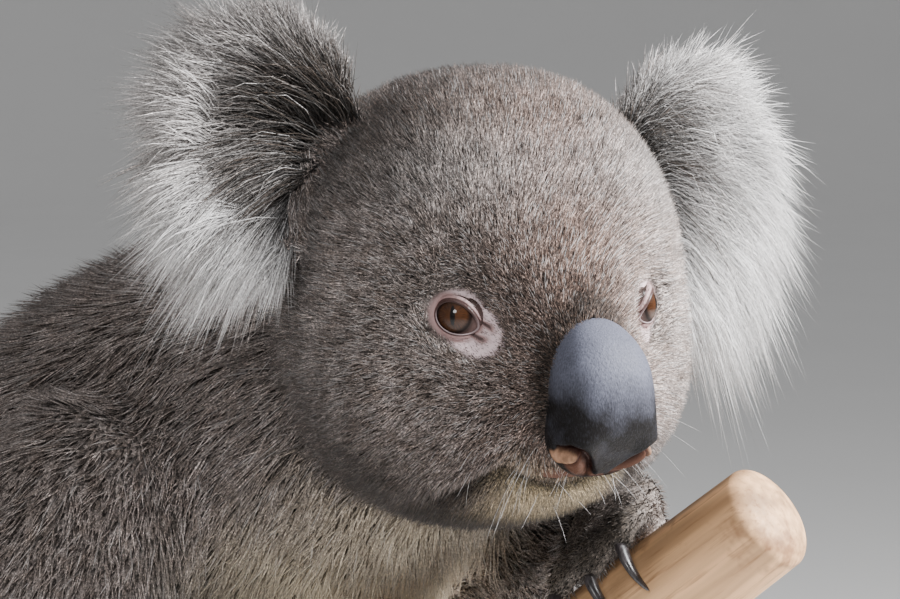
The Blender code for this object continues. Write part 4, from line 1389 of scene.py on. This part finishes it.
def hair_colours():
    """Node group: coat colour from the marking and the strand. Grey turns to brown and dark by
    the marking, is mottled, and then turns to cream and pale. Each hair is darker at its root,
    paler at its tip, and lighter or darker than its neighbours by its own tone, with flecks
    along it; slow patches vary the whole, and white hairs end in the pale colour."""
    tree, enter, leave = new_group(
        "Hair colours",
        [("Marking", "Color"), ("Creamy", "Float"), ("Strand", "Color"), ("Vector", "Vector"),
         ("Grey", "Color"), ("Brown", "Color"), ("Dark", "Color"), ("Pale", "Color"),
         ("Cream", "Color"), ("Spread", "Float")],
        [("Colour", "Color"), ("Roughness", "Float")])
    g, net = enter.outputs, Net(tree)
    pale, brown, dark = net.parts(g["Marking"])
    along, tone, white = net.parts(g["Strand"])
    base = net.mix(brown, g["Grey"], g["Brown"])
    base = net.mix(dark, base, g["Dark"])
    mottle = net.span(net.noise(g["Vector"], 210.0, 2.0, 0.6), 0.36, 0.64)
    base = net.scaled(base, net.mix(mottle, (0.78, 0.73, 0.69), (1.22, 1.22, 1.22)))
    base = net.mix(g["Creamy"], base, g["Cream"])
    base = net.mix(pale, base, g["Pale"])
    patch = net.span(net.noise(g["Vector"], 38.0, 3.0), 0.3, 0.7, 0.86, 1.12)
    base = net.scaled(base, net.grey(patch))
    light = net.math("MAXIMUM", pale, g["Creamy"])
    spread = net.times(net.math("SUBTRACT", tone, 0.5), g["Spread"])
    spread = net.times(spread, net.math("SUBTRACT", 1.0, net.times(light, 0.7)))
    fleck = net.math("SUBTRACT", net.noise(g["Vector"], 1300.0, 2.0, 0.6), 0.5)
    fleck = net.times(fleck, net.span(light, 0.0, 1.0, 7.2, 1.2))
    fleck = net.times(fleck, net.span(brown, 0.0, 1.0, 1.0, 1.35))
    own = net.math("POWER", 2.0, net.math("ADD", spread, fleck))
    tip = net.span(along, 0.0, 0.85, net.span(light, 0.0, 1.0, 0.42, 0.78), 1.22, smooth=True)
    colour = net.scaled(base, net.grey(net.times(own, tip)))
    lift = net.times(net.times(white, along), net.span(dark, 0.0, 0.8, 0.55, 0.10))
    colour = net.mix(lift, colour, g["Pale"])
    net.put(leave.inputs["Colour"], colour)
    net.put(leave.inputs["Roughness"], net.span(tone, 0.0, 1.0, 0.62, 0.82))
    return tree


def fine_relief():
    """Node group: two sizes of small bumps as a height, with the mask of the hollows."""
    tree, enter, leave = new_group(
        "Fine relief", [("Vector", "Vector"), ("Scale", "Float"), ("Detail size", "Float")],
        [("Height", "Float"), ("Hollows", "Float")])
    g, net = enter.outputs, Net(tree)
    cells = net.node("TexVoronoi", {"Vector": g["Vector"], "Scale": g["Scale"]}).outputs["Distance"]
    small = net.noise(g["Vector"], net.times(g["Scale"], g["Detail size"]), 4.0, 0.6)
    net.put(leave.inputs["Height"], net.math("ADD", net.times(net.span(cells, 0.0, 0.6), 0.7),
                                             net.times(small, 0.5)))
    net.put(leave.inputs["Hollows"], net.span(small, 0.35, 0.65))
    return tree


def wood_grain():
    """Node group: wood whose grain runs along Y of the vector given. Rings are sine waves of
    the distance from that axis, bent by noise; fibres are noise drawn out along it; stains
    are broad noise over both."""
    tree, enter, leave = new_group(
        "Wood grain",
        [("Vector", "Vector"), ("Light", "Color"), ("Mid", "Color"), ("Deep", "Color"),
         ("Ring scale", "Float"), ("Fibre scale", "Float"), ("Stain", "Float")],
        [("Colour", "Color"), ("Roughness", "Float"), ("Height", "Float")])
    g, net = enter.outputs, Net(tree)
    drawn = net.drawn(g["Vector"], (1.0, 0.06, 1.0))
    fibre = net.noise(drawn, g["Fibre scale"], 5.0, 0.62)
    broad = net.noise(drawn, net.times(g["Fibre scale"], 0.16), 3.0, 0.5)
    split = net.node("SeparateXYZ", {0: g["Vector"]}).outputs
    flat = net.node("CombineXYZ", {0: split[0], 2: split[2]}).outputs[0]
    far = net.node("VectorMath", {0: flat}, operation="LENGTH").outputs["Value"]
    bent = net.math("ADD", net.times(far, g["Ring scale"]), net.times(broad, 9.0))
    ring = net.math("MULTIPLY_ADD", net.math("SINE", bent), 0.5)
    ring.node.inputs[2].default_value = 0.5
    colour = net.mix(net.span(broad, 0.36, 0.62, smooth=True), g["Mid"], g["Light"])
    colour = net.mix(net.times(ring, 0.22), colour, g["Deep"])
    colour = net.mix(net.times(net.span(fibre, 0.54, 0.72), 0.62), colour, g["Deep"])
    blot = net.noise(g["Vector"], 42.0, 4.0, 0.65)
    stain = net.times(net.span(blot, 0.56, 0.72, smooth=True), g["Stain"])
    net.put(leave.inputs["Colour"], net.mix(stain, colour, g["Deep"]))
    net.put(leave.inputs["Roughness"], net.span(fibre, 0.3, 0.7, 0.48, 0.72))
    net.put(leave.inputs["Height"], net.math("SUBTRACT", net.times(fibre, 0.7),
                                             net.times(stain, 0.2)))
    return tree


GROUPS = {}
GROUP_MAKERS = {"hair": hair_colours, "relief": fine_relief, "wood": wood_grain}


def group_named(name):
    """The shared node group of that name, built the first time it is asked for."""
    if name not in GROUPS:
        GROUPS[name] = GROUP_MAKERS[name]()
    return GROUPS[name]


# Small fixed colours inside the materials.
# Dark edge of the lids: partly their own dark margin, partly painted shade.
LID_EDGE_AND_SHADE = (0.042, 0.016, 0.014)
# Near black of the lid rims: partly their own dark margin, partly painted shade.
RIM_DARK = ((0.030, 0.014, 0.012), (0.060, 0.030, 0.026))
IRIS_RING = (0.010, 0.005, 0.004)
PUPIL = (0.002, 0.001, 0.001)
WHITE_OF_EYE = ((0.04, 0.025, 0.022), (0.11, 0.07, 0.065))
# Painted shadow of the upper lid on the eye.
LID_SHADOW = (0.012, 0.006, 0.004)
BACK_OF_EYE = (0.3, 0.2, 0.18)
# Painted shade deep in the nostrils and in the groove round each flap.
NOSTRIL_DEEP = (0.022, 0.008, 0.006)
LOG_STAIN = (0.17, 0.070, 0.030)


class Surface(Net):
    """A material's nodes: short calls, and its one Principled BSDF."""

    def __init__(self, name, **constants):
        """A new material whose shader has these constant sockets set."""
        self.material = bpy.data.materials.new(name)
        self.material.use_nodes = True
        super().__init__(self.material.node_tree)
        self.shader = self.tree.nodes["Principled BSDF"].inputs
        for key, value in constants.items():
            self.shader[key.replace("_", " ")].default_value = value

    def shared(self, name, inputs):
        """The outputs of a shared node group placed here."""
        return self.group(group_named(name), inputs)

    def finish(self, colour, rough, height=None, strength=0.0, distance=0.0):
        """Feeds the shader's colour and roughness, and its normal from a height if there is
        one. Gives the material."""
        self.put(self.shader["Base Color"], colour)
        self.put(self.shader["Roughness"], rough)
        if height is not None:
            n = self.node("Bump", {"Height": height, "Strength": strength, "Distance": distance})
            self.put(self.shader["Normal"], n.outputs["Normal"])
        return self.material


def toned(colour, amount):
    """A colour setting made lighter or darker by a factor."""
    return tuple(min(1.0, amount * c) for c in colour)


def coat_inputs(net, s, strand):
    """The coat group's inputs for these settings."""
    marking, creamy = net.attribute("marking")
    return {"Marking": marking, "Creamy": creamy, "Strand": strand, "Vector": net.place(),
            "Grey": tuple(s.grey), "Brown": tuple(s.brown), "Dark": tuple(s.dark),
            "Pale": tuple(s.pale), "Cream": tuple(s.cream), "Spread": s.hair_spread}


def coat_material(s):
    """Tufts: the coat's colours with a soft bloom where the light grazes them."""
    net = Surface("coat_hair", Sheen_Weight=0.04, Sheen_Roughness=0.45, Specular_IOR_Level=0.20)
    out = net.shared("hair", coat_inputs(net, s, net.attribute("strand")[0]))
    return net.finish(out["Colour"], out["Roughness"])


def skin_material(s):
    """Skin: between the tufts the coat's own colours in shade; on the lids and lips bare skin,
    pinkish with fine creases, darker at the rim of the eye."""
    net = Surface("skin_under_coat", Specular_IOR_Level=0.35)
    place = net.place()
    kept, body_share = net.attribute("bare")
    bare, lip, rim = net.parts(kept)
    fleck = net.span(net.noise(place, 900.0, 3.0, 0.7), 0.3, 0.7, 0.1, 0.9)
    # The skin takes the colour of a hair's root: painted shade between the tufts, deeper on the
    # head than on the body.
    strand = net.node("CombineColor", {0: net.span(body_share, 0.0, 1.0, 0.10, 0.62),
                                       1: net.times(fleck, 0.8), 2: 0.0}).outputs[0]
    out = net.shared("hair", coat_inputs(net, s, strand))
    relief = net.shared("relief", {"Vector": place, "Scale": 900.0, "Detail size": 2.2})
    pink = net.mix(net.noise(place, 260.0, 3.0), tuple(s.bare_skin), toned(s.bare_skin, 0.84))
    pink = net.mix(net.span(rim, 0.0, 0.5, 0.0, 0.80), pink, tuple(s.lid))
    # Painted shade: the dark edge of the lids and their folds, partly the lids' own dark margin.
    pink = net.mix(net.span(rim, 0.52, 0.90, 0.0, 0.95), pink, LID_EDGE_AND_SHADE)
    colour = net.mix(bare, out["Colour"], pink)
    colour = net.mix(lip, colour, tuple(s.lip))
    creased = net.times(relief["Height"], net.span(bare, 0.0, 1.0, 0.15, 0.6))
    return net.finish(colour, net.span(bare, 0.0, 1.0, 0.85, 0.48), creased, 0.55, 0.0006)


def nose_material(s):
    """Nose leather: blue-grey above and near black below, with short lying down on it as a fine
    drawn-out grain, pinkish nostril flaps and dark openings. The blue-grey top is partly the
    leather's own tone and partly a painted reflection; the near black below and at the sides is
    partly its own and partly painted shade, and the dark of the openings is painted shade."""
    net = Surface("nose_pad_leather", Specular_IOR_Level=0.12)
    place = net.place()
    pad, lip = net.attribute("pad")
    flap, hole, low = net.parts(pad)
    hairs = net.noise(net.drawn(place, (1.0, 1.0, 0.45)), 2300.0, 2.0, 0.6)
    relief = net.shared("relief", {"Vector": place, "Scale": 620.0, "Detail size": 2.6})
    blotch = net.span(net.noise(place, 130.0, 3.0), 0.3, 0.7, -0.14, 0.14)
    blend = net.math("ADD", low, blotch, clamp=True)
    colour = net.mix(blend, tuple(s.nose_top), tuple(s.nose_foot))
    fleck = net.times(net.span(hairs, 0.50, 0.66), net.span(blend, 0.0, 1.0, 0.22, 0.04))
    colour = net.mix(fleck, colour, toned(s.nose_top, 1.8))
    gaps = net.times(net.span(hairs, 0.47, 0.34), 0.30)
    colour = net.mix(gaps, colour, toned(s.nose_foot, 0.6))
    colour = net.mix(lip, colour, tuple(s.lip))
    # The flap varies in tone and is darker towards its edge.
    flap_tone = net.mix(net.span(net.noise(place, 420.0, 3.0), 0.35, 0.65), tuple(s.nostril_flap),
                   toned(s.nostril_flap, 0.55))
    flap_tone = net.mix(net.span(flap, 0.95, 0.35), flap_tone, toned(s.nostril_flap, 0.35))
    colour = net.mix(net.span(flap, 0.15, 0.60), colour, flap_tone)
    # Painted shade in the nostril openings and the groove round each flap.
    colour = net.mix(net.span(hole, 0.28, 0.72), colour, NOSTRIL_DEEP)
    height = net.math("ADD", net.times(hairs, 0.8), net.times(relief["Height"], 0.5))
    rough = net.span(relief["Hollows"], 0.0, 1.0, 0.42, 0.62)
    return net.finish(colour, rough, height, 0.6, 0.00035)


def eye_material(s):
    """Eye: amber iris with fine spokes, a dark ring at its edge, an upright slit for a pupil,
    and dusky white beyond, shaded by the upper lid. The clear wet coat thins past the iris."""
    net = Surface("eye_wet", Coat_Roughness=0.02, Coat_IOR=1.45, Specular_IOR_Level=0.05)
    x, y, front = net.parts(net.attribute("gaze")[0])
    x, y = (net.times(net.math("SUBTRACT", k, 0.5), 2 * EYE_RADIUS / MM) for k in (x, y))
    far = net.length(x, y)
    turn = net.times(net.math("ARCTAN2", y, x), 9.0)
    spoke = net.node("CombineXYZ", {0: turn, 1: net.times(far, 0.5)}).outputs[0]
    spokes = net.noise(spoke, 1.0, 4.0, 0.65)
    iris = net.mix(net.span(spokes, 0.3, 0.7), toned(s.iris, 0.45), toned(s.iris, 1.5))
    iris = net.mix(net.span(far, 3.4, 1.6, 0.0, 0.45, smooth=True), iris, toned(s.iris, 1.7))
    colour = net.mix(net.span(far, 3.9, 5.0, smooth=True), iris, IRIS_RING)
    white = net.mix(net.span(far, 5.6, 7.0, smooth=True), *WHITE_OF_EYE)
    colour = net.mix(net.span(far, 5.3, 5.7, smooth=True), colour, white)
    slit = net.length(net.times(x, 4.2), y)
    colour = net.mix(net.span(slit, 3.4, 2.6, smooth=True), colour, PUPIL)
    # Painted shadow of the upper lid over the top of the eye.
    colour = net.mix(net.span(y, 1.5, 4.8, 0.0, 0.6, smooth=True), colour, LID_SHADOW)
    colour = net.mix(front, BACK_OF_EYE, colour)
    net.put(net.shader["Coat Weight"], net.span(far, 3.4, 5.2, 0.85, 0.12, smooth=True))
    return net.finish(colour, net.span(spokes, 0.0, 1.0, 0.30, 0.45))


def rim_material(s):
    """Lid rims. Above the eye they are near black outside and brown against the ball, below it pink
    outside and near black against the ball, and a little pink at the inner corner. The near black
    is partly the lids' own dark margin and partly painted shade; the pink line below is partly the
    lid's own pink and partly a painted wet highlight."""
    net = Surface("lid_rim", Coat_Weight=0.15, Coat_Roughness=0.20, Specular_IOR_Level=0.20)
    outer, corner, below = net.parts(net.attribute("rim")[0])
    noise = net.noise(net.place(), 900.0, 3.0)
    dark = net.mix(noise, *RIM_DARK)
    away = net.span(outer, 0.15, 0.45, smooth=True)
    over = net.mix(away, dark, toned(s.lid, 0.25))
    under = net.mix(away, toned(s.bare_skin, 0.45), dark)
    colour = net.mix(below, over, under)
    colour = net.mix(net.times(corner, 0.30), colour, toned(s.bare_skin, 0.85))
    return net.finish(colour, net.span(noise, 0.3, 0.7, 0.28, 0.45), noise, 0.3, 0.0002)


def claw_material(s):
    """Claw horn: near black, paler streaks drawn out along the claw, polished by use."""
    net = Surface("claw_horn_dark", Coat_Weight=0.3, Coat_Roughness=0.25)
    streak = net.noise(net.drawn(net.place(), (0.25, 1.0, 0.25)), 1300.0, 4.0, 0.6)
    colour = net.mix(net.span(streak, 0.42, 0.70), tuple(s.claw), toned(s.claw, 3.4))
    return net.finish(colour, net.span(streak, 0.3, 0.7, 0.25, 0.42), streak, 0.25, 0.0002)


def wood_finish(net, inputs, strength, distance):
    """A wooden surface from the shared grain with these inputs."""
    out = net.shared("wood", inputs)
    return net.finish(out["Colour"], out["Roughness"], out["Height"], strength, distance)


def log_material(s):
    """Bare log: warm smooth wood, grain along the log, brown stains and polished places."""
    net = Surface("log_bare_wood", Specular_IOR_Level=0.40)
    slope = {"Vector": net.place(), "Rotation": (LOG_SLOPE, 0.0, 0.0)}
    _, y, z = LOG_TOP
    middle = (0.0, y * math.cos(LOG_SLOPE) - z * math.sin(LOG_SLOPE),
              y * math.sin(LOG_SLOPE) + z * math.cos(LOG_SLOPE))
    turned = {0: net.node("Mapping", slope).outputs[0], 1: middle}
    centred = net.node("VectorMath", turned, operation="SUBTRACT").outputs[0]
    return wood_finish(net, {
        "Vector": centred, "Light": tuple(s.wood), "Mid": toned(s.wood, 0.46),
        "Deep": LOG_STAIN, "Ring scale": 1400.0, "Fibre scale": 520.0, "Stain": 0.75},
        0.5, 0.0006)


def board_material(s):
    """Board: dark oiled wood, grain from back to front."""
    net = Surface("board_oiled_wood", Coat_Weight=0.12, Coat_Roughness=0.3)
    pith = {0: net.place(), 1: (0.08, 0.0, 0.35)}
    shifted = net.node("VectorMath", pith, operation="ADD").outputs[0]
    return wood_finish(net, {
        "Vector": shifted, "Light": tuple(s.board), "Mid": toned(s.board, 0.60),
        "Deep": toned(s.board, 0.22), "Ring scale": 520.0, "Fibre scale": 300.0,
        "Stain": 0.15}, 0.35, 0.0004)


def steel_material(s):
    """Rods: satin steel with fine turning marks and faint finger marks."""
    net = Surface("rod_satin_steel", Metallic=1.0)
    place = net.place()
    lines = net.noise(net.drawn(place, (0.02, 0.02, 1.0)), 2600.0, 2.0)
    marks = net.noise(place, 70.0, 3.0)
    rough = net.math("ADD", net.span(lines, 0.3, 0.7, 0.24, 0.34),
                     net.span(marks, 0.45, 0.7, 0.0, 0.12))
    return net.finish(net.mix(marks, tuple(s.steel), toned(s.steel, 0.8)), rough,
                      lines, 0.15, 0.0001)


def floor_material(s):
    """Stage floor: pale matt paint, very slightly uneven."""
    net = Surface("stage_floor", Specular_IOR_Level=0.2)
    tint = net.noise(net.place(), 3.0, 2.0)
    return net.finish(net.mix(tint, tuple(s.floor), toned(s.floor, 0.96)),
                      net.span(tint, 0.3, 0.7, 0.75, 0.85))


# ---------------------------------------------------------------- settings
def colour_property(name, description, default):
    """A colour setting in the panel."""
    return FloatVectorProperty(name=name, description=description, default=default, size=3,
                               subtype="COLOR", min=0.0, max=1.0)


def power_property(name, description, default):
    """A lamp's power in the panel."""
    return FloatProperty(name=name, description=description, default=default, min=0.0,
                         subtype="POWER", unit="POWER")


def angle_property(name, description, degrees):
    """An angle in the panel."""
    return FloatProperty(name=name, description=description, default=math.radians(degrees),
                         subtype="ANGLE", unit="ROTATION")


def length_property(name, description, default):
    """A length in the panel."""
    return FloatProperty(name=name, description=description, default=default, min=0.01,
                         subtype="DISTANCE", unit="LENGTH")


class KoalaSettings(bpy.types.PropertyGroup):
    """Sizes and colours that a user would change."""

    coat_amount: FloatProperty(
        name="Coat amount", description="Share of the full number of tufts in each coat piece",
        default=1.0, min=0.05, max=1.0, subtype="FACTOR")
    hair_spread: FloatProperty(
        name="Hair spread", description="How far single hairs differ in tone from their neighbours",
        default=2.6, min=0.0, max=5.0)
    grey: colour_property("Grey", "Main colour of the coat", (0.214, 0.185, 0.173))
    brown: colour_property("Brown", "Crown and between the eyes", (0.100, 0.067, 0.055))
    # Dark also gives the painted shade on the low cheeks, chin, mouth, the nose's edge, the ears'
    # roots and, in part, the paws.
    dark: colour_property("Dark", "Ears' roots, paws, low cheeks", (0.022, 0.016, 0.012))
    pale: colour_property("Pale", "Ear fringes and pale patches", (0.860, 0.850, 0.850))
    cream: colour_property("Cream", "Chin and chest", (0.620, 0.500, 0.310))
    bare_skin: colour_property("Bare skin", "Patches about the eyes", (0.800, 0.620, 0.640))
    lid: colour_property("Lids", "Lids close to the eye", (0.270, 0.148, 0.132))
    lip: colour_property("Lip", "Bare lip under the nose", (0.095, 0.042, 0.027))
    # The nose's two colours: the blue-grey top is partly a painted reflection, the near black foot
    # partly painted shade.
    nose_top: colour_property("Nose, above", "Upper nose pad", (0.124, 0.130, 0.172))
    nose_foot: colour_property("Nose, below", "Lower nose pad", (0.008, 0.007, 0.007))
    nostril_flap: colour_property("Nostril flap", "Flap in each nostril", (0.420, 0.240, 0.150))
    iris: colour_property("Iris", "Main colour of the iris", (0.042, 0.015, 0.005))
    claw: colour_property("Claws", "Main colour of the claws", (0.018, 0.015, 0.016))
    wood: colour_property("Log", "Light colour of the log", (0.930, 0.550, 0.285))
    board: colour_property("Board", "Light colour of the board", (0.140, 0.085, 0.055))
    steel: colour_property("Rods", "Colour of the rods", (0.620, 0.620, 0.630))
    floor: colour_property("Floor", "Colour of the stage floor", (0.820, 0.812, 0.800))
    world: colour_property("Air", "Even light from all round", (0.780, 0.790, 0.810))
    world_strength: FloatProperty(name="Air strength", description="Strength of the even light",
                                  default=0.52, min=0.0, max=5.0)
    key_power: power_property("Key light", "Main soft light, from the right", 78.0)
    fill_power: power_property("Fill light", "Soft light by the camera", 6.5)
    top_power: power_property("Top light", "Soft light overhead", 2.0)
    view_turn: angle_property("Camera turn", "Camera's direction round the koala", -58)
    view_rise: angle_property("Camera rise", "Camera's height angle", 5)
    view_distance: length_property("Camera distance", "From the head's middle", 0.9)
    view_width: length_property("View width", "Width seen at the head", 0.900 / 3.14)


def finish_piece(obj, material, replaced=()):
    """Gives a piece its material, hides the solids that it stands for, and gives it its body."""
    obj.data.materials.clear()
    obj.data.materials.append(material)
    if replaced:
        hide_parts(*replaced)
    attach(obj, "root")


def shared_material(name, make, settings):
    """A material used by several operators, built once."""
    if name not in SHARED:
        SHARED[name] = make(settings)
    return SHARED[name]


class KOALA_OT_skin(bpy.types.Operator):
    """Fuse the flesh solids and ears into one skin, and sculpt its eyes and mouth"""

    bl_idname = "koala.skin"
    bl_label = "Skin"

    def execute(self, context):
        s = context.scene.koala
        obj = make_skin()
        mesh = obj.data
        points, normals = points_of(mesh), normals_of(mesh)
        facts = skin_facts(points, normals)
        q = to_head(points)
        lip, rim = lip_share(q), rim_share(q)
        put_attribute(mesh, "marking", facts["marking"])
        body_share = 1 - facts["head"]
        put_attribute(mesh, "bare", np.stack((facts["bare"], lip, rim, body_share), -1))
        SHARED["lip"], SHARED["rim"] = lip, rim
        SHARED["facts"] = facts
        SHARED["arrays"] = (points, normals, triangles_of(mesh))
        finish_piece(obj, skin_material(s), FLESH)
        return {"FINISHED"}


class KOALA_OT_coat(bpy.types.Operator):
    """Lay the short coat over the head, trunk and limbs"""

    bl_idname = "koala.coat"
    bl_label = "Coat"

    def execute(self, context):
        s = context.scene.koala
        hair = shared_material("hair", coat_material, s)
        for obj in make_coat(s):
            finish_piece(obj, hair)
        return {"FINISHED"}


class KOALA_OT_ears(bpy.types.Operator):
    """Set the long hair on both ears"""

    bl_idname = "koala.ears"
    bl_label = "Ear hair"

    def execute(self, context):
        s = context.scene.koala
        hair = shared_material("hair", coat_material, s)
        for name in EARS:
            for n, obj in enumerate(make_ear_hair(name, s)):
                finish_piece(obj, hair, () if n else ("ear_" + name,))
        return {"FINISHED"}


class KOALA_OT_eyes(bpy.types.Operator):
    """Set both eyeballs and the wet rims of their lids"""

    bl_idname = "koala.eyes"
    bl_label = "Eyes"

    def execute(self, context):
        s = context.scene.koala
        wet, rim = eye_material(s), rim_material(s)
        for name, side in (("left", 1), ("right", -1)):
            finish_piece(make_eyeball("eyeball_" + name, side), wet, ("eye_" + name,))
            finish_piece(make_lid_rim("lid_rim_" + name, side), rim)
        return {"FINISHED"}


class KOALA_OT_nose(bpy.types.Operator):
    """Set the nose pad with its nostrils"""

    bl_idname = "koala.nose"
    bl_label = "Nose"

    def execute(self, context):
        s = context.scene.koala
        finish_piece(make_nose(), nose_material(s), ("nose",))
        return {"FINISHED"}


class KOALA_OT_whiskers(bpy.types.Operator):
    """Set the whiskers on the lips, chin and brows"""

    bl_idname = "koala.whiskers"
    bl_label = "Whiskers"

    def execute(self, context):
        s = context.scene.koala
        obj = make_whiskers()
        finish_piece(obj, shared_material("hair", coat_material, s))
        return {"FINISHED"}


class KOALA_OT_claws(bpy.types.Operator):
    """Set the curved claws on every clawed digit"""

    bl_idname = "koala.claws"
    bl_label = "Claws"

    def execute(self, context):
        s = context.scene.koala
        horn = claw_material(s)
        for paw in DIGITS:
            nodes = [f"claw_{paw}_{n + 1}" for n in range(len(DIGITS[paw]))]
            finish_piece(make_claws(paw), horn, nodes)
        return {"FINISHED"}


class KOALA_OT_log(bpy.types.Operator):
    """Make the cut log that the koala grips"""

    bl_idname = "koala.log"
    bl_label = "Log"

    def execute(self, context):
        finish_piece(make_log(), log_material(context.scene.koala), ("log",))
        return {"FINISHED"}


class KOALA_OT_stand(bpy.types.Operator):
    """Make the rods and finish the board"""

    bl_idname = "koala.stand"
    bl_label = "Stand"

    def execute(self, context):
        s = context.scene.koala
        steel = steel_material(s)
        for where in ("front", "back"):
            node = "stand_rod_" + where
            finish_piece(make_rod(node + "_turned", node), steel, (node,))
        board = NODES["stand_base"]
        material = board_material(s)
        for slot in board.material_slots:
            slot.material = material
        return {"FINISHED"}


# Each lamp's disk size, and its place from the head: towards the camera, right and up.
LAMPS = {"key": (0.55, (0.16, 1.12, 0.66)), "fill": (0.36, (1.2, -0.27, 0.40)),
         "top": (0.90, (0.35, -0.15, 1.30))}
# How far the middle of the view lies right of the head's middle and above it.
VIEW_SHIFT = (-0.0105, -0.0014)


def make_floor():
    """The stage floor and its far wall as one sheet: rings about the koala, flat to 8 m out,
    bent up through a quarter circle of 3 m and then upright."""
    ring, bend = circle(96), np.linspace(0, math.pi / 2, 14)
    out = np.concatenate(((0.5, 2.0, 5.0), 8.0 + 3.0 * np.sin(bend), (11.0, 11.0)))[:, None]
    rise = np.concatenate((np.zeros(3), 3.0 - 3.0 * np.cos(bend), (4.5, 6.0)))[:, None]
    rings = np.stack((out * np.cos(ring), out * np.sin(ring), rise + 0 * ring), -1)
    points = np.vstack((rings.reshape(-1, 3), np.zeros((1, 3))))
    a = np.arange(len(ring))
    middle = np.stack((np.full(len(a), len(points) - 1), a, (a + 1) % len(a)), 1)
    return mesh_object("stage_floor", points, [grid_faces(len(out), len(a))[:, ::-1], middle])


class KOALA_OT_stage(bpy.types.Operator):
    """Set the floor, the lights and the camera"""

    bl_idname = "koala.stage"
    bl_label = "Stage"

    def execute(self, context):
        s, scene = context.scene.koala, context.scene
        floor = make_floor()
        floor.data.materials.append(floor_material(s))
        world = bpy.data.worlds.new("studio_air")
        world.use_nodes = True
        air = world.node_tree.nodes["Background"].inputs
        air[0].default_value = (*s.world, 1.0)
        air[1].default_value = s.world_strength
        scene.world = world
        turn, rise = s.view_turn, s.view_rise
        back = Vector((math.sin(turn) * math.cos(rise), -math.cos(turn) * math.cos(rise),
                       math.sin(rise)))
        right = Vector((math.cos(turn), math.sin(turn), 0.0))
        up = back.cross(right)
        head = Vector(HEAD_CENTRE)
        for name, (size, place) in LAMPS.items():
            light = bpy.data.lights.new("light_" + name, "AREA")
            light.shape = "DISK"
            light.energy, light.size = getattr(s, name + "_power"), size
            offset = back * place[0] + right * place[1] + up * place[2]
            lamp = linked("light_" + name, light)
            lamp.location = head + offset
            lamp.rotation_mode = "QUATERNION"
            lamp.rotation_quaternion = offset.to_track_quat("Z", "Y")
        lens = bpy.data.cameras.new("camera")
        camera = linked("camera", lens)
        aim = head + right * VIEW_SHIFT[0] + up * VIEW_SHIFT[1]
        camera.location = aim + back * s.view_distance
        camera.rotation_mode = "QUATERNION"
        camera.rotation_quaternion = (-back).to_track_quat("-Z", "Y")
        lens.lens = lens.sensor_width * s.view_distance / s.view_width
        lens.clip_start = 0.01
        lens.dof.use_dof = False
        scene.camera = camera
        return {"FINISHED"}


PIECES = (KOALA_OT_skin, KOALA_OT_coat, KOALA_OT_ears, KOALA_OT_eyes, KOALA_OT_nose,
          KOALA_OT_whiskers, KOALA_OT_claws, KOALA_OT_log, KOALA_OT_stand, KOALA_OT_stage)


class KOALA_PT_panel(bpy.types.Panel):
    """The pieces and their settings, in the 3D view's sidebar"""

    bl_label = "Koala"
    bl_idname = "KOALA_PT_panel"
    bl_space_type = "VIEW_3D"
    bl_region_type = "UI"
    bl_category = "Koala"

    def draw(self, context):
        for piece in PIECES:
            self.layout.operator(piece.bl_idname)
        for name in KoalaSettings.__annotations__:
            self.layout.prop(context.scene.koala, name)


CLASSES = (KoalaSettings, *PIECES, KOALA_PT_panel)


def register():
    """Adds the settings, operators and panel."""
    for cls in CLASSES:
        bpy.utils.register_class(cls)
    bpy.types.Scene.koala = PointerProperty(type=KoalaSettings)


def unregister():
    """Takes them away again."""
    del bpy.types.Scene.koala
    for cls in reversed(CLASSES):
        bpy.utils.unregister_class(cls)


def main():
    """Makes every piece in order."""
    register()
    for piece in PIECES:
        group, name = piece.bl_idname.split(".")
        getattr(getattr(bpy.ops, group), name)()


if __name__ == "__main__":
    main()
